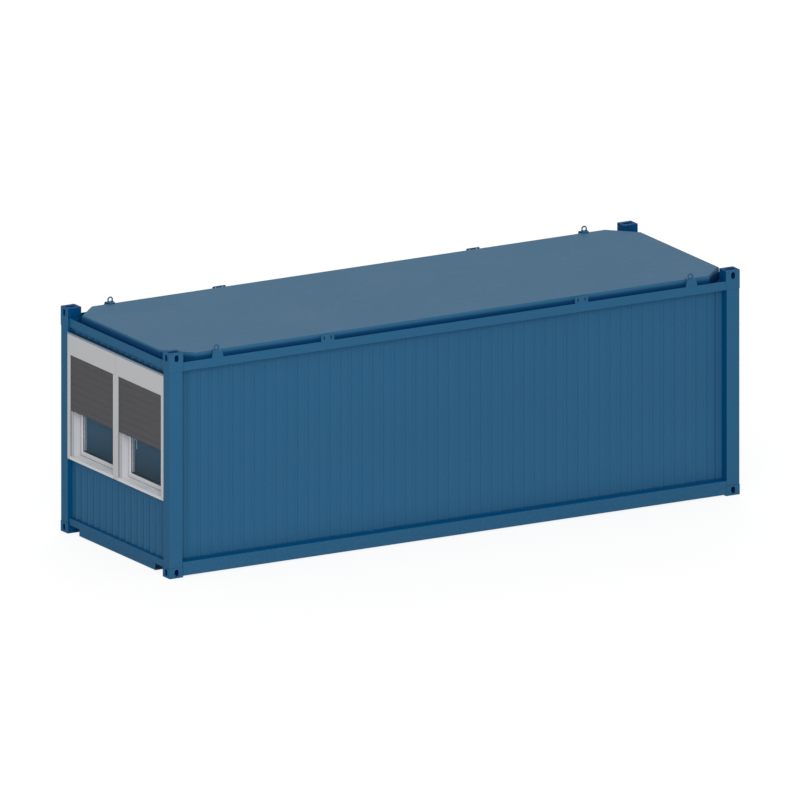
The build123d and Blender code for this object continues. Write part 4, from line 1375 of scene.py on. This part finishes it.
@dataclass
class TwinWindow:
    """Two windows side by side with half lowered roller shutters in one white surround."""

    palette: Palette
    centre_y: float = 0.53375
    centre_z: float = 1.470
    opening_half: Tuple[float, float] = (0.47975, 0.570)
    glass_half: Tuple[float, float] = (0.43145, 0.5217)
    glass_rebate: float = 0.012
    glass_outer: float = -3.5145
    glass_inner: float = -3.4905
    glass_sheet: float = 0.004
    spacer_reach: float = 0.0045
    foot_strip: float = 0.0065
    curtain_x: float = -3.6492
    curtain_half: float = 0.4935
    curtain_top: float = 2.0865
    curtain_bottom: float = 1.430
    end_bar: float = 0.065
    slat_pitch: float = 0.0845
    slat_count: int = 7
    slat_thickness: float = 0.0055
    slat_crown: float = 0.0022
    slat_groove: float = 0.0016
    pile_reach: Tuple[float, float] = (0.0055, 0.0185)
    pile_rise: Tuple[float, float] = (-0.566, 0.600)
    pile_rows: Tuple[Tuple[float, float], ...] = ((-3.6533, -3.6545), (-3.6438, -3.6426))
    stop_y: float = 0.30
    stop_rise: float = 0.030
    stop: Point = (0.026, 0.016, 0.0012)
    handle_y: float = 0.0783
    handle_z: float = 1.320
    room_face: float = -3.4745

    def middles(self) -> List[Vector]:
        """The middle of each of the two openings, on x = 0."""
        return [Vector((0.0, side * self.centre_y, self.centre_z)) for side in (-1, 1)]

    def glaze(self) -> None:
        """Set two sheets of glass in each window, a spacer between them and gaskets around."""
        glass, spacer, gasket = Form(), Form(), Form()
        wide = 2 * (self.glass_half[0] + self.glass_rebate)
        high = 2 * (self.glass_half[1] + self.glass_rebate)
        size = (wide, high, self.glass_sheet)
        for middle in self.middles():
            for x in (self.glass_outer, self.glass_inner - self.glass_sheet):
                glass.slab(middle + ALONG * x, ALONG, ACROSS, size, 0.002, 0.0004)
            low, high_x = self.glass_outer + self.glass_sheet, self.glass_inner - self.glass_sheet
            reach = self.spacer_reach
            bar = [(0.011, low), (-reach, low), (-reach, high_x), (0.011, high_x)]
            spacer.surround(middle, self.glass_half, bar)
            foot = middle - Vector((0.0, 0.0, self.glass_half[1] - reach))
            foot.x = (low + high_x) / 2
            long = 2 * self.glass_half[0] - self.glass_rebate
            strip = (long, high_x - low - 0.0004, self.foot_strip)
            gasket.slab(foot, UP, ACROSS, strip, 0.001, 0.0004)
            for face, out in ((self.glass_outer, -1), (self.glass_inner, 1)):
                lip = [(0.0, face), (-0.0045, face), (-0.0045, face + out * 0.0012)]
                lip += [(-0.0018, face + out * 0.0030), (0.0, face + out * 0.0034)]
                gasket.surround(middle, self.glass_half, lip)
        glass.piece("window_glass", self.palette.glass, "glazing", ["window_panes"])
        spacer.piece("glass_spacers", self.palette.spacer, "handle_metal")
        gasket.piece("glass_gaskets", self.palette.rubber, "window_plastic")

    def slat_mesh(self) -> bpy.types.Mesh:
        """Crowned slats with a hooked groove between them, for both curtains.

        Returns:
            The mesh of all slats.
        """
        sheet = PatternSheet(
            "SlatCurtain",
            {
                "Count": self.slat_count,
                "Pitch": self.slat_pitch,
                "Width": 2 * self.curtain_half,
                "Thickness": self.slat_thickness,
                "Crown": self.slat_crown,
                "Groove": self.slat_groove,
                "Top": (self.curtain_x, -self.curtain_half, self.curtain_top),
                "Between": (0.0, 2 * self.centre_y, 0.0),
            },
        )
        high = sheet.size("Pitch") - 0.0004
        inputs = {"Width": sheet.size("Thickness"), "Height": high}
        outline = sheet.node("GeometryNodeCurvePrimitiveQuadrilateral", None, inputs)
        inputs = {"Curve": outline, "Length": 0.0022}
        outline = sheet.node("GeometryNodeResampleCurve", {"mode": "LENGTH"}, inputs)
        here = sheet.node("GeometryNodeInputPosition")
        parts = sheet.node("ShaderNodeSeparateXYZ", None, {0: here}).socket.node.outputs
        rise = Signal(sheet, parts["Y"]) / (high / 2.0)
        crown = sheet.size("Crown") * (1.0 - rise * rise)
        hook = sheet.size("Groove") * (rise < -0.955) + sheet.size("Groove") * 0.6 * (rise > 0.975)
        shift = sheet.node("ShaderNodeCombineXYZ", None, {0: hook - crown})
        outline = sheet.node("GeometryNodeSetPosition", None, {0: outline, "Offset": shift})
        end = sheet.node("ShaderNodeCombineXYZ", None, {1: sheet.size("Width")})
        path = sheet.node("GeometryNodeCurvePrimitiveLine", None, {"End": end})
        inputs = {"Curve": path, "Profile Curve": outline, "Fill Caps": True}
        slat = sheet.node("GeometryNodeCurveToMesh", None, inputs)
        down = sheet.node("ShaderNodeCombineXYZ", None, {2: sheet.size("Pitch") * -1.0})
        start = sheet.node(
            "ShaderNodeVectorMath", {"operation": "MULTIPLY_ADD"},
            {0: down, 1: (0.5, 0.5, 0.5), 2: sheet.size("Top")},
        )
        inputs = {"Count": sheet.size("Count"), "Start Location": start, "Offset": down}
        column = sheet.node("GeometryNodeMeshLine", None, inputs)
        curtain = sheet.node("GeometryNodeInstanceOnPoints", None, {0: column, "Instance": slat})
        inputs = {"Count": 2, "Start Location": (0.0, -self.centre_y, 0.0)}
        inputs["Offset"] = sheet.size("Between")
        pair = sheet.node("GeometryNodeMeshLine", None, inputs)
        both = sheet.node("GeometryNodeInstanceOnPoints", None, {0: pair, "Instance": curtain})
        return sheet.grow(both, self.palette.slat)

    def shutters(self) -> None:
        """Hang the curtains and their end bars."""
        slats = place("shutter_slats", self.slat_mesh(), ["shutter_curtains"])
        LOG.info("%s hangs from the box", slats.name)
        bars, lips = Form(), Form()
        top, bottom = self.curtain_bottom + self.end_bar - 0.0005, self.curtain_bottom
        front, back = self.curtain_x - 0.0040, self.curtain_x + 0.0040
        shape = [(back, top), (front + 0.001, top), (front, top - 0.004), (front, bottom + 0.012)]
        shape += [(front + 0.0012, bottom + 0.0085), (front, bottom + 0.0075)]
        shape += [(front, bottom + 0.0045), (back, bottom + 0.0045)]
        lip = [(back - 0.0015, bottom + 0.0044), (front + 0.0015, bottom + 0.0044)]
        lip += [(front + 0.0025, bottom + 0.0006), (back - 0.0025, bottom + 0.0006)]
        for middle in self.middles():
            for form, outline in ((bars, shape), (lips, lip)):
                ends = [middle.y - self.curtain_half, middle.y + self.curtain_half]
                form.loft([[Vector((x, y, z)) for x, z in outline] for y in ends])
            for side in (-1, 1):
                y = middle.y + side * self.stop_y
                stop = Vector((front + 0.0002, y, bottom + self.stop_rise))
                bars.slab(stop, -ALONG, ACROSS, self.stop, 0.004, 0.0004)
        bars.piece("shutter_end_bars", self.palette.slat, "shutter_slats")
        lips.piece("shutter_end_lips", self.palette.rubber, "shutter_slats")

    def brushes(self) -> None:
        """Line the guide slots with grey pile on both sides of the curtain."""
        pile = Form()
        for middle in self.middles():
            for side in (-1, 1):
                edge = middle.y + side * (self.opening_half[0] + self.pile_reach[0])
                outer = middle.y + side * (self.opening_half[0] + self.pile_reach[1])
                low, high = (self.centre_z + rise for rise in self.pile_rise)
                for front, back in self.pile_rows:
                    corners = [(front, edge), (front, outer), (back, outer), (back, edge)]
                    pile.loft([[Vector((x, y, z)) for x, y in corners] for z in (low, high)])
        pile.piece("guide_brushes", self.palette.grey_seal, "window_plastic")

    def sash_seals(self) -> None:
        """Close the gap around each sash with a rubber seal, set back from its face."""
        seal = Form()
        shape = [(-0.0002, -3.5318), (-0.0030, -3.5328), (-0.0052, -3.5337)]
        shape += [(-0.0052, -3.5325), (-0.0002, -3.5325)]
        for middle in self.middles():
            seal.surround(middle, self.opening_half, shape)
        seal.piece("sash_seals", self.palette.grey_seal, "window_plastic")

    def handles(self) -> None:
        """Mount a lever on the room's side of each sash."""
        form = Form()
        inward, across, up = ALONG, ACROSS, UP
        for side in (-1, 1):
            base = Vector((self.room_face + 0.0001, side * self.handle_y, self.handle_z))
            form.slab(base, inward, across, (0.026, 0.070, 0.0098), 0.0085, 0.0022)
            neck = section(0.018, 0.018, 0.009)
            stations = [(base + inward * 0.009, across, up, neck)]
            stations += [(base + inward * 0.027, across, up, neck)]
            bend = (0.0335, -0.004), (0.0385, -0.012), (0.0398, -0.024)
            for (depth, drop), tilt in zip(bend, (25.0, 60.0, 86.0)):
                spread = math.radians(tilt)
                lie = inward * math.sin(spread) + up * math.cos(spread)
                blade = section(0.018 - 0.0008 * tilt / 30, 0.015 - 0.004 * tilt / 86, 0.007)
                stations.append((base + inward * depth + up * drop, across, lie, blade))
            for drop, width in ((-0.045, 0.0150), (-0.080, 0.0158), (-0.106, 0.0160)):
                blade = section(width, 0.0100, 0.0046)
                stations.append((base + inward * 0.0400 + up * drop, across, inward, blade))
            tip = section(0.0105, 0.0066, 0.0033)
            stations.append((base + inward * 0.0396 + up * -0.1150, across, inward, tip))
            form.sweep(stations)
        form.piece("window_levers", self.palette.white_metal, "handle_metal", ["window_handles"])

    def build(self) -> None:
        """Dress the surround and fit glass, seals, shutters and handles."""
        dress(self.palette.plastic, "shutter_box", "shutter_guides")
        dress(self.palette.sash, "window_sill", "window_frame", "window_sashes")
        self.glaze()
        self.shutters()
        self.brushes()
        self.sash_seals()
        self.handles()


@dataclass
class EndDoor:
    """Steel door in the end wall: levers, lock, hinges, seal and threshold."""

    palette: Palette
    leaf_half: float = 0.402
    leaf_bottom: float = 0.200
    leaf_top: float = 2.147
    outer_face: float = 3.6195
    room_face: float = 3.5745
    handle_y: float = 0.342
    handle_z: float = 1.215
    plate: Point = (0.040, 0.220, 0.006)
    plate_drop: float = 0.055
    hinge_y: float = -0.4035
    hinge_heights: Tuple[float, ...] = (0.430, 1.1735, 1.917)
    hinge_height: float = 0.110

    def levers(self) -> None:
        """Fit plate, lever and lock cylinder on both sides of the leaf."""
        form, lock = Form(), Form()
        across, up = ACROSS, UP
        for face, way in ((self.outer_face, 1.0), (self.room_face, -1.0)):
            out = Vector((way, 0.0, 0.0))
            axis = Vector((face + way * 0.0001, self.handle_y, self.handle_z))
            width = across * way
            middle = axis - up * self.plate_drop
            form.slab(middle, out, width, self.plate, 0.010, 0.0016)
            collar = axis + out * 0.005
            form.slab(collar, out, width, (0.030, 0.030, 0.005), 0.015, 0.0012)
            neck = section(0.019, 0.019, 0.0095)
            stations = [(axis + out * depth, across, up, neck) for depth in (0.008, 0.027)]
            for turn, reach in ((25.0, 0.003), (50.0, 0.009), (75.0, 0.018)):
                angle = math.radians(turn)
                lie = across * math.cos(angle) + out * math.sin(angle)
                bend = axis + out * (0.027 + 0.0128 * math.sin(angle)) - across * reach
                stations.append((bend, lie, up, section(0.0165, 0.0192, 0.0078)))
            for reach, tall in ((0.034, 0.0195), (0.075, 0.0198), (0.104, 0.0192)):
                spot = axis + out * 0.0404 - across * reach
                stations.append((spot, out, up, section(0.0136, tall, 0.0062)))
            spot = axis + out * 0.0400 - across * 0.1185
            stations.append((spot, out, up, section(0.0088, 0.0140, 0.0040)))
            form.sweep(stations)
            keyhole = middle - up * 0.035
            lock.slab(keyhole, out, width, (0.017, 0.017, 0.0086), 0.0085, 0.0008)
            lower = keyhole - up * 0.0125
            lock.slab(lower, out, width, (0.010, 0.020, 0.0084), 0.0048, 0.0006)
        form.piece("door_levers", self.palette.metal, "handle_metal", ["door_handles"])
        lock.piece("door_lock", self.palette.tread, "handle_metal")
        slots = Form()
        for face, way in ((self.outer_face, 1.0), (self.room_face, -1.0)):
            out = Vector((way, 0.0, 0.0))
            keyhole = Vector((face + way * 0.0080, self.handle_y, self.handle_z - 0.0915))
            slots.slab(keyhole, out, across * way, (0.0022, 0.0090, 0.0008), 0.0008, 0.0001)
        slots.piece("key_slots", self.palette.rubber, "handle_metal")

    def hinges(self) -> None:
        """Fit three hinges: leaf plates, three knuckles on a pin and countersunk screws."""
        form, screws = Form(), Form()
        out, across, up = ALONG, ACROSS, UP
        for height in self.hinge_heights:
            foot = Vector((self.outer_face + 0.0004, self.hinge_y, height))
            for side in (-1, 1):
                middle = foot + across * side * 0.0188
                form.slab(middle, out, across, (0.0262, self.hinge_height, 0.0036), 0.005, 0.0008)
                for rise in (-0.036, 0.0, 0.036):
                    spot = foot + out * 0.0034 + across * side * 0.021 + up * rise
                    screws.slab(spot, out, across, (0.0086, 0.0086, 0.0009), 0.0043, 0.0005)
            axis = foot + out * 0.0092
            third = self.hinge_height / 3
            for index in (-1, 0, 1):
                low = axis + up * ((index - 0.5) * third + 0.0006)
                size = (0.0172, 0.0172, third - 0.0012)
                form.slab(low, up, out, size, 0.0086, 0.0012)
            pin = axis - up * (self.hinge_height / 2 - 0.0004)
            form.slab(pin, up, out, (0.0090, 0.0090, self.hinge_height - 0.0008), 0.0045, 0.0006)
        form.piece("door_hinge_set", self.palette.metal, "handle_metal", ["door_hinges"])
        screws.piece("hinge_screws", self.palette.tread, "handle_metal")

    def seal(self) -> None:
        """Fill the gap around the leaf with a rubber seal."""
        form = Form()
        middle = Vector((0.0, 0.0, (self.leaf_bottom + self.leaf_top) / 2))
        half = (self.leaf_half, (self.leaf_top - self.leaf_bottom) / 2)
        front = self.outer_face - 0.0022
        shape = [(0.0002, front - 0.008), (0.0028, front - 0.008), (0.0028, front - 0.0006)]
        shape += [(0.0015, front), (0.0002, front - 0.0006)]
        form.surround(middle, half, shape)
        form.piece("door_seal", self.palette.rubber, "door_paint")

    def threshold(self) -> None:
        """Lay a ribbed tread on the threshold, on the room's side of the leaf."""
        sheet = PatternSheet(
            "TreadBars",
            {
                "Count": 9,
                "Pitch": 0.0072,
                "Length": 0.780,
                "Radius": 0.0015,
                "First": (self.room_face - 0.0665, 0.0, 0.1972),
            },
        )
        inputs = {"Vertices": 8, "Radius": sheet.size("Radius"), "Depth": sheet.size("Length")}
        bar = sheet.node("GeometryNodeMeshCylinder", None, inputs)
        inputs = {0: bar, "Rotation": (math.pi / 2, 0.0, 0.0)}
        bar = sheet.node("GeometryNodeTransform", None, inputs)
        step = sheet.node("ShaderNodeCombineXYZ", None, {0: sheet.size("Pitch")})
        inputs = {"Count": sheet.size("Count"), "Start Location": sheet.size("First")}
        row = sheet.node("GeometryNodeMeshLine", None, {**inputs, "Offset": step})
        bars = sheet.node("GeometryNodeInstanceOnPoints", None, {0: row, "Instance": bar})
        place("threshold_tread", sheet.grow(bars, self.palette.tread))

    def build(self) -> None:
        """Dress the door and fit its parts."""
        dress(self.palette.door, "door_frame", "door_leaf")
        self.levers()
        self.hinges()
        self.seal()
        self.threshold()


def main() -> None:
    """Build the studio and every sub-assembly."""
    logging.basicConfig(level=logging.INFO, format="%(name)s: %(message)s")
    bpy.context.scene.view_settings.view_transform = "Standard"
    Studio().build()
    palette = Palette()
    for assembly in (SteelFrame, WallSkins, RoofDeck, FloorDeck, TwinWindow, EndDoor):
        LOG.info("building %s", assembly.__name__)
        assembly(palette).build()


if __name__ == "__main__":
    main()
